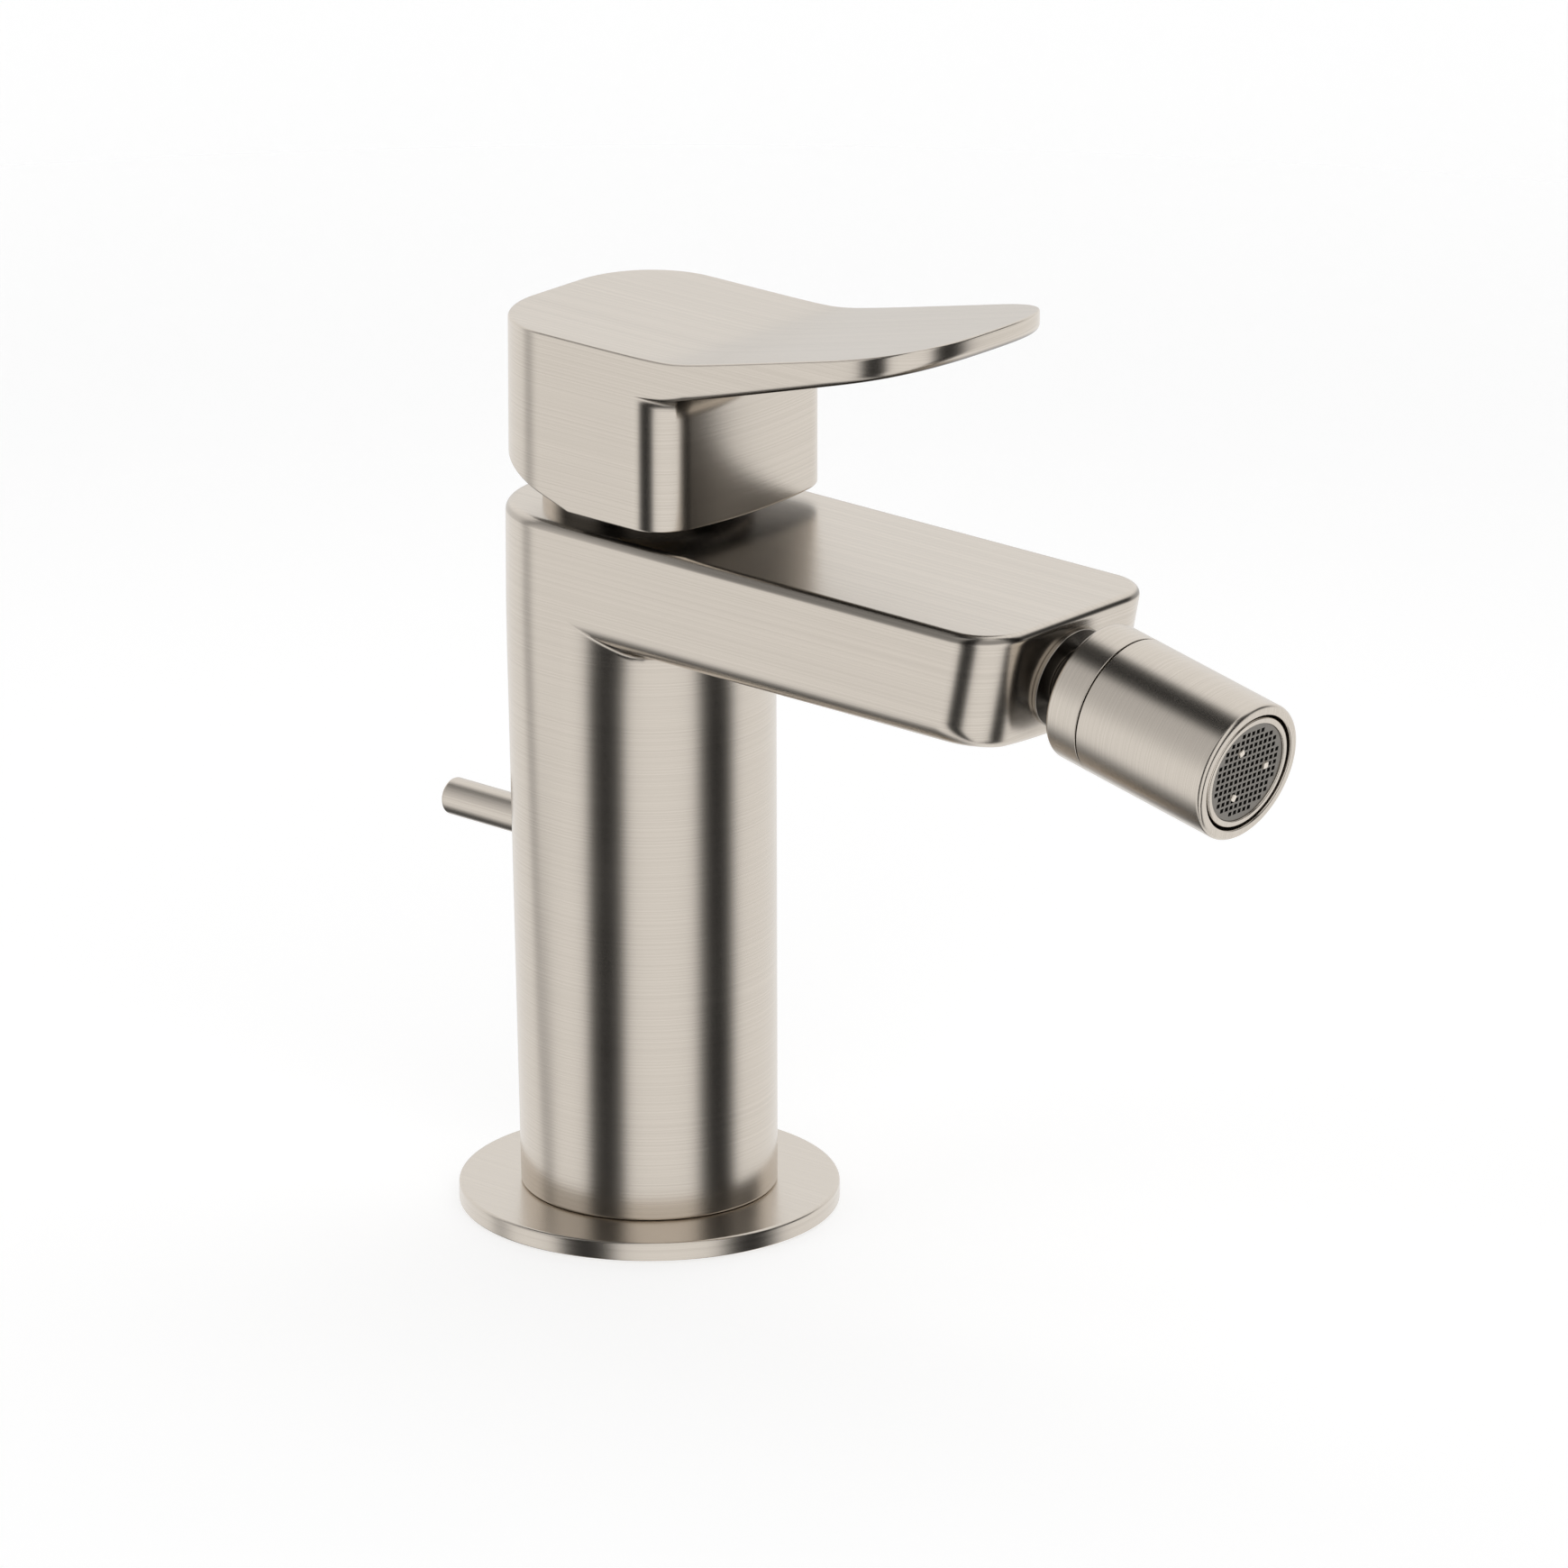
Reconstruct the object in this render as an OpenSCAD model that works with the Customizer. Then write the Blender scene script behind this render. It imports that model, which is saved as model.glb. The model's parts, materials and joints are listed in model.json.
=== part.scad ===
// Single-lever bidet mixer with a swivelling nozzle and a pop-up waste knob.
// The origin is the centre of the base flange on the deck plane.
// +X points along the spout, +Z points up. All sizes are in millimetres.

/* [Base] */
// Diameter of the base flange
flange_d = 60; // [56:1:66]
// Thickness of the base flange
flange_t = 3; // [2.5:0.5:4]

/* [Body] */
// Diameter of the column at its foot
column_d = 40.4; // [40:0.2:42]
// Height of the flat top of the spout above the deck
body_h = 115.4; // [112:0.2:124]
// Thickness of the spout
spout_t = 18.8; // [18:0.2:20]
// Distance from the column axis to the upper end edge of the spout
spout_reach = 87.8; // [80:0.2:100]

/* [Nozzle] */
// Outer diameter of the nozzle
nozzle_d = 22.5; // [22.5:0.1:24]
// Distance from the centre of the swivel ball to the mouth of the nozzle
nozzle_len = 27; // [25:0.5:32]
// Angle of the nozzle below the horizontal
nozzle_dip = 11.8; // [8:0.2:16]

/* [Handle] */
// Height of the handle hub
hub_h = 27.9; // [26:0.1:34]
// Distance from the column axis to the tip of the lever
lever_reach = 70.8; // [60:0.2:84]
// Height of the lever tip above the top of the hub
lever_rise = 11.3; // [8:0.1:14]

/* [Cartridge] */
// Diameter of the cartridge bore in the body
cartridge_d = 31; // [30.8:0.1:31.6]

/* [Pop-up waste] */
// Diameter of the waste knob
knob_d = 6; // [5:0.2:6.4]
// Height of the waste knob above the deck, pushed down
knob_z = 57.2; // [50:0.2:58]
// Distance from the column axis to the free end of the waste knob
knob_reach = 41.4; // [36:0.2:50]
// Lift of the waste knob
waste_travel = 18; // [12:1:18]

/* [Hidden] */
$fn = 64;

// Fits: running is a radial clearance, gap keeps free faces apart, cut is the overshoot of a cut
running = 0.05;
gap = 0.3;
cut = 1;

// Body
column_relief = 0.2;
head_half = column_d / 2 - column_relief;
head_z = body_h - spout_t;
rear_r = 15;
end_r = 8.4;
end_rake = spout_t * tan(nozzle_dip);
head_low_edge = 4.2;
head_crown = 1.25;
crown_share = 0.9;
end_low_edge = 1.2;
head_top_edge = 1.6;
arc_steps = 10;
column_inset = 0.15;
column_sides = 72;
column_lap = 4;
column_top = head_z + column_lap;
spigot_step = 2.2;
spigot_r = column_d / 2 - spigot_step;
channel_r = 4;
channel_drop = 11.6;
channel_z = body_h - channel_drop;

// Cartridge stack, from the floor of its bore up
bore_r = cartridge_d / 2;
bore_depth = 31.4;
bore_floor = body_h - bore_depth;
port_y = 7.5;
port_r = 2.2;
port_margin = 2;
port_groove = 0.75;
inlet_r = 3;
base_t = 6;
base_top = bore_floor + base_t;
outlet_w = 6;
outlet_h = 3;
disc_t = 3.5;
disc_play = 0.02;
fixed_top = base_top + disc_t;
moving_z = fixed_top + disc_play;
moving_top = moving_z + disc_t;
carrier_t = 4;
carrier_top = moving_top + carrier_t;
water_gap = 1.3;
housing_wall = 1;
housing_r = bore_r - water_gap;
housing_in_r = housing_r - housing_wall;
slide_room = 3.2;
moving_r = housing_in_r - slide_room;
guide_flange_t = 3.7;
guide_z = carrier_top + gap;
guide_flange_top = guide_z + guide_flange_t;
roof_t = 3.7;
roof_z = guide_flange_top + gap;
roof_top = roof_z + roof_t;
nut_wall = 3.5;
nut_in_r = bore_r - nut_wall;
limit_w = 2.4;
limit_t = 2;
limit_r = nut_in_r - 2 * gap;
guide_r = limit_r - limit_w;
guide_drop = 0.4;
guide_top = body_h - guide_drop;
pivot_drop = 7.4;
pivot_z = body_h - pivot_drop;
pin_r = 1.5;
pin_recess = 0.6;
pin_half = guide_r - pin_recess;
stem_w = 8;
tip_r = 2;
tip_shaft_r = 1.4;
tip_depth = 1.7;
tip_z = carrier_top - tip_depth;
tip_pocket_r = tip_r + 4 * running;
stem_foot = 4;
stem_low = pivot_z - stem_foot;
guide_back = 2.1;
guide_front = 3;
swing_back = guide_r - guide_back;
swing_front = guide_r - guide_front;
nut_hex_r = bore_r - gap;
nut_proud = 1;
nut_top = body_h + nut_proud;
ring_lap = 0.8;
ring_r = bore_r + ring_lap;
ring_h = 2.2;
ring_top = body_h + ring_h;

// Handle
hub_lift = 0.4;
hub_z = ring_top + hub_lift;
hub_top = hub_z + hub_h;
hub_rear_r = 14.5;
hub_front_r = 8;
hub_bow_r = 75;
hub_edge = 0.6;
hub_slope = 18;
hub_slope_x = 1.3;
hub_bore_play = 0.5;
hub_bore_r = ring_r + hub_bore_play;
hub_wall = 3.2;
hub_half = hub_bore_r + hub_wall;
hub_rear_step = 1;
hub_rear = hub_half - hub_rear_step;
hub_front_step = 3.2;
hub_front = hub_half + hub_front_step;
hub_bore_depth = 7;
hub_bore_top = hub_z + hub_bore_depth;
socket_depth = 19;
socket_top = hub_z + socket_depth;
stem_gap = 1;
stem_top = socket_top - stem_gap;
blade_bend = 22.2;
blade_soft = 4;
blade_slope = lever_rise / (lever_reach - blade_bend);
blade_root = 6;
blade_relief = 0.15;
blade_root_w = hub_half - blade_relief;
blade_taper = 0.0125;
blade_end_len = 18;
blade_end_power = 2.75;
blade_root_t = 6.3;
blade_tip_t = 3.3;
blade_steps = 16;
screw_rise = 13;
screw_z = hub_z + screw_rise;
screw_r = 2.5;
screw_in = 8;
screw_len = hub_rear - stem_w / 2 - screw_in;
cap_r = 3.3;
cap_t = 1.8;

// Nozzle, along its own axis from the centre of the ball
nozzle_r = nozzle_d / 2;
end_z = -9.6;
ball_r = 8;
ball_bore_r = 3;
neck_r = 5;
collar_r = 8.2;
collar_t = 0.8;
stem_thread_r = 5.5;
stem_thread_len = 8;
stem_seal_r = 6.9;
stem_seal_t = 1.2;
liner_wall = 0.9;
liner_r = ball_r + liner_wall;
liner_rear = -1.8;
liner_front = 2.6;
cap_rear = -4.45;
cap_front = 1.8;
cap_edge = 0.8;
skirt_end = 5.5;
skirt_wall = 1.35;
skirt_r = nozzle_r - skirt_wall;
ball_space_r = liner_r + 2 * running;
seal_h = 2.6;
seal_z = skirt_end + 2 * running;
seal_end = seal_z + seal_h;
web_t = 3.7;
web_z = seal_end + 2 * running;
chamber_z = web_z + web_t;
mouth_wall = 1.7;
chamber_r = nozzle_r - mouth_wall;
web_r = 7;
washer_t = 1.5;
washer_end = chamber_z + washer_t;
cage_gap = 0.25;
cage_r = chamber_r - cage_gap;
cage_wall = 1.2;
cage_in_r = cage_r - cage_wall;
cage_floor_t = 1.5;
cage_floor = washer_end + cage_floor_t;
disc_end = cage_floor + cage_floor_t;
mesh_step = 2.5;
mesh_t = 0.8;
mesh_z = disc_end + mesh_step;
mesh_end = mesh_z + mesh_t;
grid_t = 1;
grid_depth = 0.5;
grid_end = nozzle_len - grid_depth;
cage_depth = 0.2;
cage_end = nozzle_len - cage_depth;
grid_pitch = 1.1;
grid_hole = 0.72;
mouth_edge = 0.8;

// Pop-up waste and underside
rod_x = -12.2;
rod_r = 2.5;
rod_z = 1;
rod_bore_r = 5;
block_r = rod_bore_r - 2 * running;
block_drop = 12;
block_rise = 4.4;
block_low = knob_z - block_drop;
block_high = knob_z + block_rise;
rod_bore_top = block_high + waste_travel + 3 * gap;
rod_web = 1;
rod_top = knob_z - knob_d / 2 - rod_web;
slot_half = knob_d / 2 + gap;
knob_past = 3.5;
knob_in = rod_x + knob_past;
knob_edge = 0.6;
rod_end_r = 2;
rod_end_len = 8;
bush_h = 8;
bush_z = rod_z + rod_end_len + 2 * gap;
stud_x = 11.5;
stud_r = 3.4;
stud_len = 16;
socket_r = 4.5;
socket_len = 12;
seal_margin = 3;
seal_in = spigot_r + seal_margin;
seal_out = flange_d / 2 - seal_margin;
seal_t = 1.2;

// Centre of the swivel ball: the spout's end face lies square to the nozzle's axis
axis_x = cos(nozzle_dip);
axis_z = -sin(nozzle_dip);
axis_drop = 10.38;
ball_x = spout_reach - axis_drop * tan(nozzle_dip) - end_z * axis_x;
ball_z = body_h - axis_drop - end_z * axis_z;

// Colours
nickel = [0.83, 0.80, 0.76];
brass = [0.78, 0.63, 0.35];
steel = [0.70, 0.71, 0.72];
rubber = [0.12, 0.12, 0.12];
resin = [0.88, 0.88, 0.85];
dark_resin = [0.30, 0.31, 0.33];
ceramic = [0.93, 0.92, 0.88];

// Arc of a plan outline, from angle a0 counter-clockwise to a1
function arc(x, y, r, a0, a1) = [
    for (i = [0 : arc_steps])
        let (a = a0 + (a1 - a0) * i / arc_steps)
            [x + r * cos(a), y + r * sin(a)]
];

// Quarter arc of a plan outline, from angle a0 counter-clockwise
function corner(x, y, r, a0) = arc(x, y, r, a0, a0 + 90);

// Rounded rectangle in plan, from x0 to x1, with its own front and rear corner radii
function plan(x0, x1, half, front, rear) = concat(
    corner(x1 - front, half - front, front, 0),
    corner(x0 + rear, half - rear, rear, 90),
    corner(x0 + rear, rear - half, rear, 180),
    corner(x1 - front, front - half, front, 270)
);

// The same with its front bowed out by an arc of radius bow, which the front corners touch at the angle turn
function bowed_plan(x0, x1, half, front, rear, bow) =
    let (
        turn = asin((half - front) / (bow - front)),
        middle = x1 - bow,
        x = middle + (bow - front) * cos(turn),
        edge = arc(middle, 0, bow, -turn, turn)
    )
        concat(
            arc(x, half - front, front, turn, 90),
            corner(x0 + rear, half - rear, rear, 90),
            corner(x0 + rear, rear - half, rear, 180),
            arc(x, front - half, front, 270, 360 - turn),
            [for (i = [1 : arc_steps - 1]) edge[i]]
        );

function lift_ring(outline, z) = [for (p = outline) [p[0], p[1], z]];

// Solid through a stack of rings with equal point counts, each counter-clockwise seen from the last
module loft(rings) {
    n = len(rings[0]);
    last = len(rings) - 1;
    sides = [
        for (j = [0 : last - 1], i = [0 : n - 1])
            let (k = (i + 1) % n, low = j * n, high = low + n)
                each [[low + i, high + i, high + k], [low + i, high + k, low + k]]
    ];
    low_cap = [for (i = [0 : n - 1]) i];
    high_cap = [for (i = [n - 1 : -1 : 0]) last * n + i];
    polyhedron(points = [for (r = rings) each r], faces = concat([low_cap], sides, [high_cap]));
}

// Cylinder between two heights
module post(r, z0, z1) {
    translate([0, 0, z0])
        cylinder(r = r, h = z1 - z0);
}

// Ring between two heights
module band(r_out, r_in, z0, z1) {
    difference() {
        post(r_out, z0, z1);
        post(r_in, z0 - cut, z1 + cut);
    }
}

// Places children at both ports of the cartridge
module at_ports() {
    for (side = [-1, 1])
        translate([0, side * port_y, 0])
            children();
}

// Places children on the nozzle's axis, with +Z pointing out of its mouth
module on_nozzle() {
    translate([ball_x, 0, ball_z])
        rotate([0, 90 + nozzle_dip, 0])
            children();
}

// Cylinder along X between two distances from the axis
module along_x(r, x0, x1, z) {
    translate([x0, 0, z])
        rotate([0, 90, 0])
            cylinder(r = r, h = x1 - x0);
}

// Base

module base_flange() {
    edge = 0.5;
    color(nickel)
        difference() {
            rotate_extrude()
                polygon([
                    [0, 0], [flange_d / 2, 0], [flange_d / 2, flange_t - edge],
                    [flange_d / 2 - edge, flange_t], [0, flange_t]
                ]);
            post(spigot_r + running, -cut, flange_t + cut);
            band(seal_out + running, seal_in - running, -cut, seal_t + running);
        }
}

module base_seal() {
    color(rubber)
        band(seal_out, seal_in, 0, seal_t);
}

// Body: column and spout in one casting

// Distance from the column axis to a rounded square of half width h and corner radius r
function square_reach(a, h, r) =
    let (c = abs(cos(a)), s = abs(sin(a)), flat = h - r, along = flat * (c + s))
        h * s <= flat * c ? h / c
        : h * c <= flat * s ? h / s
        : along + sqrt(along * along - 2 * flat * flat + r * r);

// Column ring: round at the foot, squared towards the rear at the spout
function column_ring(z) =
    let (
        k = (z - flange_t) / (column_top - flange_t),
        h = head_half - column_inset
    ) [
        for (i = [0 : column_sides - 1])
            let (
                a = 360 * i / column_sides,
                top_r = cos(a) < 0 ? square_reach(a, h, rear_r) : h,
                r = (1 - k) * column_d / 2 + k * top_r
            ) [r * cos(a), r * sin(a), z]
    ];

// Head ring: the spout's outline drawn in by the given amounts at its sides and at its end, which rakes back downwards
function head_ring(z, side_in, end_in) = lift_ring(plan(
    side_in - head_half, spout_reach - end_rake * (body_h - z) / spout_t - end_in,
    head_half - side_in, min(end_r - end_in, 0.9 * (head_half - side_in)), max(rear_r - side_in, 0.1)
), z);

// Inset of an edge of radius r at the given height above its lower end
function edge_inset(r, up) = up < r ? r - sqrt(r * r - (r - up) * (r - up)) : 0;

// The spout's lower edge is wide along the sides and narrow at the end, and its underside is a little crowned
module head_solid() {
    start = 75;
    crown_z = head_z + head_low_edge * (1 - sin(start));
    crown_half = head_half - head_low_edge * (1 - cos(start));
    base = crown_z - crown_share * head_crown;
    crown = [
        for (s = [crown_share : -0.3 : 0.1])
            let (z = crown_z - s * head_crown)
                head_ring(z, head_half - crown_half * sqrt(1 - s), edge_inset(end_low_edge, z - base))
    ];
    low = [
        for (a = [start : -15 : 0])
            let (z = head_z + head_low_edge * (1 - sin(a)))
                head_ring(z, head_low_edge * (1 - cos(a)), edge_inset(end_low_edge, z - base))
    ];
    high = [
        for (a = [0 : 45 : 90])
            let (in = head_top_edge * (1 - cos(a)))
                head_ring(body_h - head_top_edge * (1 - sin(a)), in, in)
    ];
    loft(concat(crown, low, high));
}

module body_bores() {
    post(bore_r, bore_floor, body_h + cut);
    at_ports() {
        post(inlet_r, 0, bore_floor + cut);
        post(socket_r, -cut, socket_len);
    }
    translate([stud_x, 0, 0])
        post(stud_r, -cut, stud_len);
    translate([rod_x, 0, 0])
        post(rod_bore_r, -cut, rod_bore_top);
    along_x(channel_r, housing_r, ball_x, channel_z);
    on_nozzle() {
        post(stem_thread_r + running, end_z - stem_thread_len - cut, end_z + cut);
        post(stem_seal_r + running, end_z - stem_seal_t, end_z + cut);
    }
    knob_slot();
}

// Upright slot in the rear wall, round at both ends
module knob_slot() {
    for (z = [knob_z, knob_z + waste_travel])
        along_x(slot_half, -column_d, rod_x, z);
    translate([-column_d, -slot_half, knob_z])
        cube([column_d + rod_x, 2 * slot_half, waste_travel]);
}

module body() {
    color(nickel)
        difference() {
            union() {
                post(spigot_r, 0, flange_t + cut);
                loft([column_ring(flange_t), column_ring(column_top)]);
                head_solid();
            }
            body_bores();
        }
}

// Cartridge

module cartridge_seals() {
    color(rubber)
        at_ports()
            rotate_extrude()
                translate([port_r + port_margin, bore_floor + port_groove])
                    circle(r = port_groove);
}

module cartridge_base() {
    seat_r = 5.1;
    seat_t = 1.6;
    color(dark_resin)
        difference() {
            post(bore_r - gap, bore_floor, base_top);
            at_ports() {
                post(port_r, bore_floor - cut, base_top + cut);
                post(seat_r, bore_floor - cut, bore_floor + seat_t);
            }
            translate([-column_d, -outlet_w / 2, base_top - outlet_h])
                cube([2 * column_d, outlet_w, outlet_h + cut]);
        }
}

module fixed_disc() {
    outlet_r = 3;
    color(ceramic)
        difference() {
            post(housing_in_r - 2 * running, base_top, fixed_top);
            at_ports()
                post(port_r, base_top - cut, fixed_top + cut);
            post(outlet_r, base_top - cut, fixed_top + cut);
        }
}

module moving_disc() {
    mix_r = 4.8;
    mix_h = 2;
    color(ceramic)
        difference() {
            post(moving_r, moving_z, moving_top);
            post(mix_r, moving_z - cut, moving_z + mix_h);
        }
}

module disc_carrier() {
    color(resin)
        difference() {
            post(moving_r, moving_top, carrier_top);
            post(tip_pocket_r, moving_top - cut, carrier_top + cut);
        }
}

module cartridge_housing() {
    color(dark_resin)
        difference() {
            post(housing_r, base_top, roof_top);
            post(housing_in_r, base_top - cut, roof_z);
            post(guide_r + running, roof_z - cut, roof_top + cut);
        }
}

module spindle_guide() {
    slot_half_y = stem_w / 2 + gap / 2;
    color(resin)
        difference() {
            union() {
                post(housing_in_r - gap, guide_z, guide_flange_top);
                post(guide_r, guide_z, guide_top);
            }
            translate([-swing_back, -slot_half_y, guide_z - cut])
                cube([swing_back + swing_front, 2 * slot_half_y, guide_top - guide_z + 2 * cut]);
            pin_shape(pin_r, pin_half);
        }
}

// Pin across the spindle, along Y
module pin_shape(r, half) {
    translate([0, half, pivot_z])
        rotate([90, 0, 0])
            cylinder(r = r, h = 2 * half);
}

module spindle_pin() {
    color(steel)
        pin_shape(pin_r, pin_half);
}

module spindle() {
    color(brass)
        difference() {
            union() {
                translate([-stem_w / 2, -stem_w / 2, stem_low])
                    cube([stem_w, stem_w, stem_top - stem_low]);
                post(tip_shaft_r, tip_z, stem_low + cut);
                translate([0, 0, tip_z])
                    sphere(r = tip_r);
            }
            pin_shape(pin_r + running, stem_w);
        }
}

module limit_ring() {
    color([0.75, 0.12, 0.10])
        band(limit_r, guide_r, roof_top + gap, roof_top + gap + limit_t);
}

module cartridge_nut() {
    hex_z = body_h - guide_drop;
    color(brass)
        difference() {
            union() {
                post(bore_r - running, roof_top, hex_z);
                translate([0, 0, hex_z])
                    cylinder(r = nut_hex_r, h = nut_top - hex_z, $fn = 6);
            }
            post(nut_in_r, roof_top - cut, nut_top + cut);
        }
}

module neck_ring() {
    edge = 0.5;
    roof = nut_top + gap;
    color(nickel)
        difference() {
            rotate_extrude()
                polygon([
                    [0, body_h], [ring_r, body_h], [ring_r, ring_top - edge],
                    [ring_r - edge, ring_top], [0, ring_top]
                ]);
            post(nut_hex_r + gap, body_h - cut, roof);
            post(nut_in_r, roof - cut, ring_top + cut);
        }
}

// Handle

function blade_top(x) =
    let (d = x - blade_bend)
        hub_top + blade_slope * (d + sqrt(d * d + blade_soft * blade_soft)) / 2;

function blade_half(x) = blade_root_w - blade_taper * max(0, x - hub_half);

function blade_thick(x) =
    blade_root_t + (blade_tip_t - blade_root_t) * (x - hub_half) / (lever_reach - hub_half);

function blade_section(x, half, top, thick) =
    [[x, -half, top - thick], [x, half, top - thick], [x, half, top], [x, -half, top]];

// Lever blade: it starts inside the hub, rises towards the tip and ends in a full, squarish curve
module blade() {
    end_x = lever_reach - blade_end_len;
    sunk = 1;
    root = blade_section(blade_root, blade_root_w, hub_top - sunk, blade_root_t - sunk);
    run = [
        for (i = [1 : blade_steps])
            let (x = blade_root + (end_x - blade_root) * i / blade_steps)
                blade_section(x, blade_half(x), blade_top(x), blade_thick(max(x, hub_half)))
    ];
    tip = [
        for (a = [8 : 8 : 88])
            let (
                x = end_x + blade_end_len * pow(sin(a), 2 / blade_end_power),
                half = blade_half(end_x) * pow(cos(a), 2 / blade_end_power)
            )
                blade_section(x, half, blade_top(x), blade_thick(x))
    ];
    loft(concat([root], run, tip));
}

module hub_solid() {
    rings = [
        for (a = [0 : 45 : 90])
            let (in = hub_edge * (1 - cos(a)))
                lift_ring(
                    bowed_plan(
                        in - hub_rear, hub_front - in, hub_half - in,
                        hub_front_r - in, hub_rear_r - in, hub_bow_r - in
                    ),
                    hub_top - hub_edge * (1 - sin(a))
                )
    ];
    low = lift_ring(bowed_plan(-hub_rear, hub_front, hub_half, hub_front_r, hub_rear_r, hub_bow_r), hub_z);
    loft(concat([low], rings));
}

// The hub's rear underside rises, which leaves room for the lift
module rear_relief() {
    size = 4 * hub_half;
    translate([hub_slope_x, 0, hub_z])
        rotate([0, hub_slope, 0])
            translate([-size, -size / 2, -size])
                cube(size);
}

module handle() {
    socket_w = stem_w + 2 * running;
    color(nickel)
        difference() {
            union() {
                hub_solid();
                blade();
            }
            rear_relief();
            post(hub_bore_r, hub_z - cut, hub_bore_top);
            translate([-socket_w / 2, -socket_w / 2, hub_z])
                cube([socket_w, socket_w, socket_top - hub_z]);
            along_x(screw_r + running, -hub_rear - cut, 0, screw_z);
            along_x(cap_r + running, -hub_rear - cut, -hub_rear + cap_t, screw_z);
        }
}

module handle_screw() {
    hex_r = 1.45;
    hex_len = 3;
    inner = -stem_w / 2 - running;
    color(steel)
        difference() {
            along_x(screw_r, inner - screw_len, inner, screw_z);
            translate([inner - screw_len - cut, 0, screw_z])
                rotate([0, 90, 0])
                    cylinder(r = hex_r, h = hex_len + cut, $fn = 6);
        }
}

module screw_cap() {
    proud = 0.05;
    color(nickel)
        along_x(cap_r, proud - hub_rear, cap_t - hub_rear, screw_z);
}

// Nozzle and swivel ball

module ball_stem() {
    color(nickel)
        on_nozzle()
            difference() {
                union() {
                    sphere(r = ball_r);
                    post(neck_r, end_z, 0);
                    post(collar_r, end_z, end_z + collar_t);
                    post(stem_thread_r, end_z - stem_thread_len, end_z + cut);
                }
                post(ball_bore_r, end_z - stem_thread_len - cut, ball_r + cut);
            }
}

module stem_seal() {
    color(rubber)
        on_nozzle()
            band(stem_seal_r, stem_thread_r + running, end_z - stem_seal_t + running, end_z - running);
}

module ball_liner() {
    color(resin)
        on_nozzle()
            difference() {
                intersection() {
                    sphere(r = liner_r);
                    post(nozzle_r, liner_rear, liner_front);
                }
                sphere(r = ball_r + running);
            }
}

module ball_cap() {
    color(nickel)
        on_nozzle()
            difference() {
                union() {
                    rotate_extrude()
                        cap_profile();
                    post(skirt_r - running, cap_front - cut, skirt_end);
                }
                sphere(r = ball_space_r);
                post(ball_space_r, 0, skirt_end + cut);
            }
}

// Half section of the ball cap with its rounded rear edge
module cap_profile() {
    polygon(concat(
        [[0, cap_rear]],
        [for (a = [-90 : 15 : 0]) [nozzle_r - cap_edge * (1 - cos(a)), cap_rear + cap_edge * (1 + sin(a))]],
        [[nozzle_r, cap_front], [0, cap_front]]
    ));
}

module ball_seal() {
    pass_r = 4.4;
    color(rubber)
        on_nozzle()
            difference() {
                post(skirt_r - running, seal_z, seal_end);
                sphere(r = ball_r + running);
                post(pass_r, seal_z - cut, seal_end + cut);
            }
}

module nozzle_housing() {
    seam = 0.25;
    color(nickel)
        on_nozzle()
            difference() {
                rotate_extrude()
                    polygon([
                        [0, cap_front + seam], [nozzle_r, cap_front + seam],
                        [nozzle_r, nozzle_len - mouth_edge], [nozzle_r - mouth_edge, nozzle_len],
                        [0, nozzle_len]
                    ]);
                post(skirt_r, cap_front - cut, web_z);
                post(web_r, web_z - cut, chamber_z + cut);
                post(chamber_r, chamber_z, nozzle_len + cut);
            }
}

module aerator_seal() {
    color(rubber)
        on_nozzle()
            band(chamber_r - running, web_r, chamber_z, washer_end);
}

module aerator_cage() {
    inlet = 6;
    color(dark_resin)
        on_nozzle()
            difference() {
                post(cage_r, washer_end, cage_end);
                post(cage_in_r, cage_floor, cage_end + cut);
                post(inlet, washer_end - cut, cage_floor + cut);
            }
}

module flow_disc() {
    holes = 12;
    hole_r = 0.6;
    circle_r = 4.6;
    color(resin)
        on_nozzle()
            difference() {
                post(cage_in_r - running, cage_floor, disc_end);
                for (i = [0 : holes - 1])
                    rotate([0, 0, 360 * i / holes])
                        translate([circle_r, 0, 0])
                            post(hole_r, cage_floor - cut, disc_end + cut);
            }
}

// Square holes in rows, kept inside the given radius
module hole_rows(pitch, size, limit, z0, z1) {
    rows = floor(limit / pitch);
    for (i = [-rows : rows], j = [-rows : rows])
        if (norm([i, j]) * pitch + size * sqrt(0.5) < limit)
            translate([i * pitch - size / 2, j * pitch - size / 2, z0])
                cube([size, size, z1 - z0]);
}

module aerator_mesh() {
    pitch = 2.6;
    size = 1.9;
    color(steel)
        on_nozzle()
            difference() {
                post(cage_in_r - running, mesh_z, mesh_end);
                hole_rows(pitch, size, cage_in_r - gap, mesh_z - cut, mesh_end + cut);
            }
}

module aerator_grid() {
    color(dark_resin)
        on_nozzle()
            difference() {
                post(cage_in_r - running, grid_end - grid_t, grid_end);
                hole_rows(grid_pitch, grid_hole, cage_in_r - gap, grid_end - grid_t - cut, grid_end + cut);
            }
}

// Pop-up waste

module waste_knob() {
    color(nickel)
        translate([knob_in, 0, knob_z])
            rotate([0, -90, 0])
                rotate_extrude()
                    polygon([
                        [0, 0], [knob_d / 2, 0], [knob_d / 2, knob_reach + knob_in - knob_edge],
                        [knob_d / 2 - knob_edge, knob_reach + knob_in], [0, knob_reach + knob_in]
                    ]);
}

module lift_block() {
    color(brass)
        difference() {
            translate([rod_x, 0, 0])
                post(block_r, block_low, block_high);
            translate([rod_x, 0, 0])
                post(rod_r + running, block_low - cut, rod_top);
            along_x(knob_d / 2 + running, rod_x - rod_bore_r - cut, knob_in, knob_z);
        }
}

module lift_rod() {
    color(steel)
        translate([rod_x, 0, 0])
            union() {
                post(rod_r, rod_z + rod_end_len, rod_top);
                post(rod_end_r, rod_z, rod_z + rod_end_len);
            }
}

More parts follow.
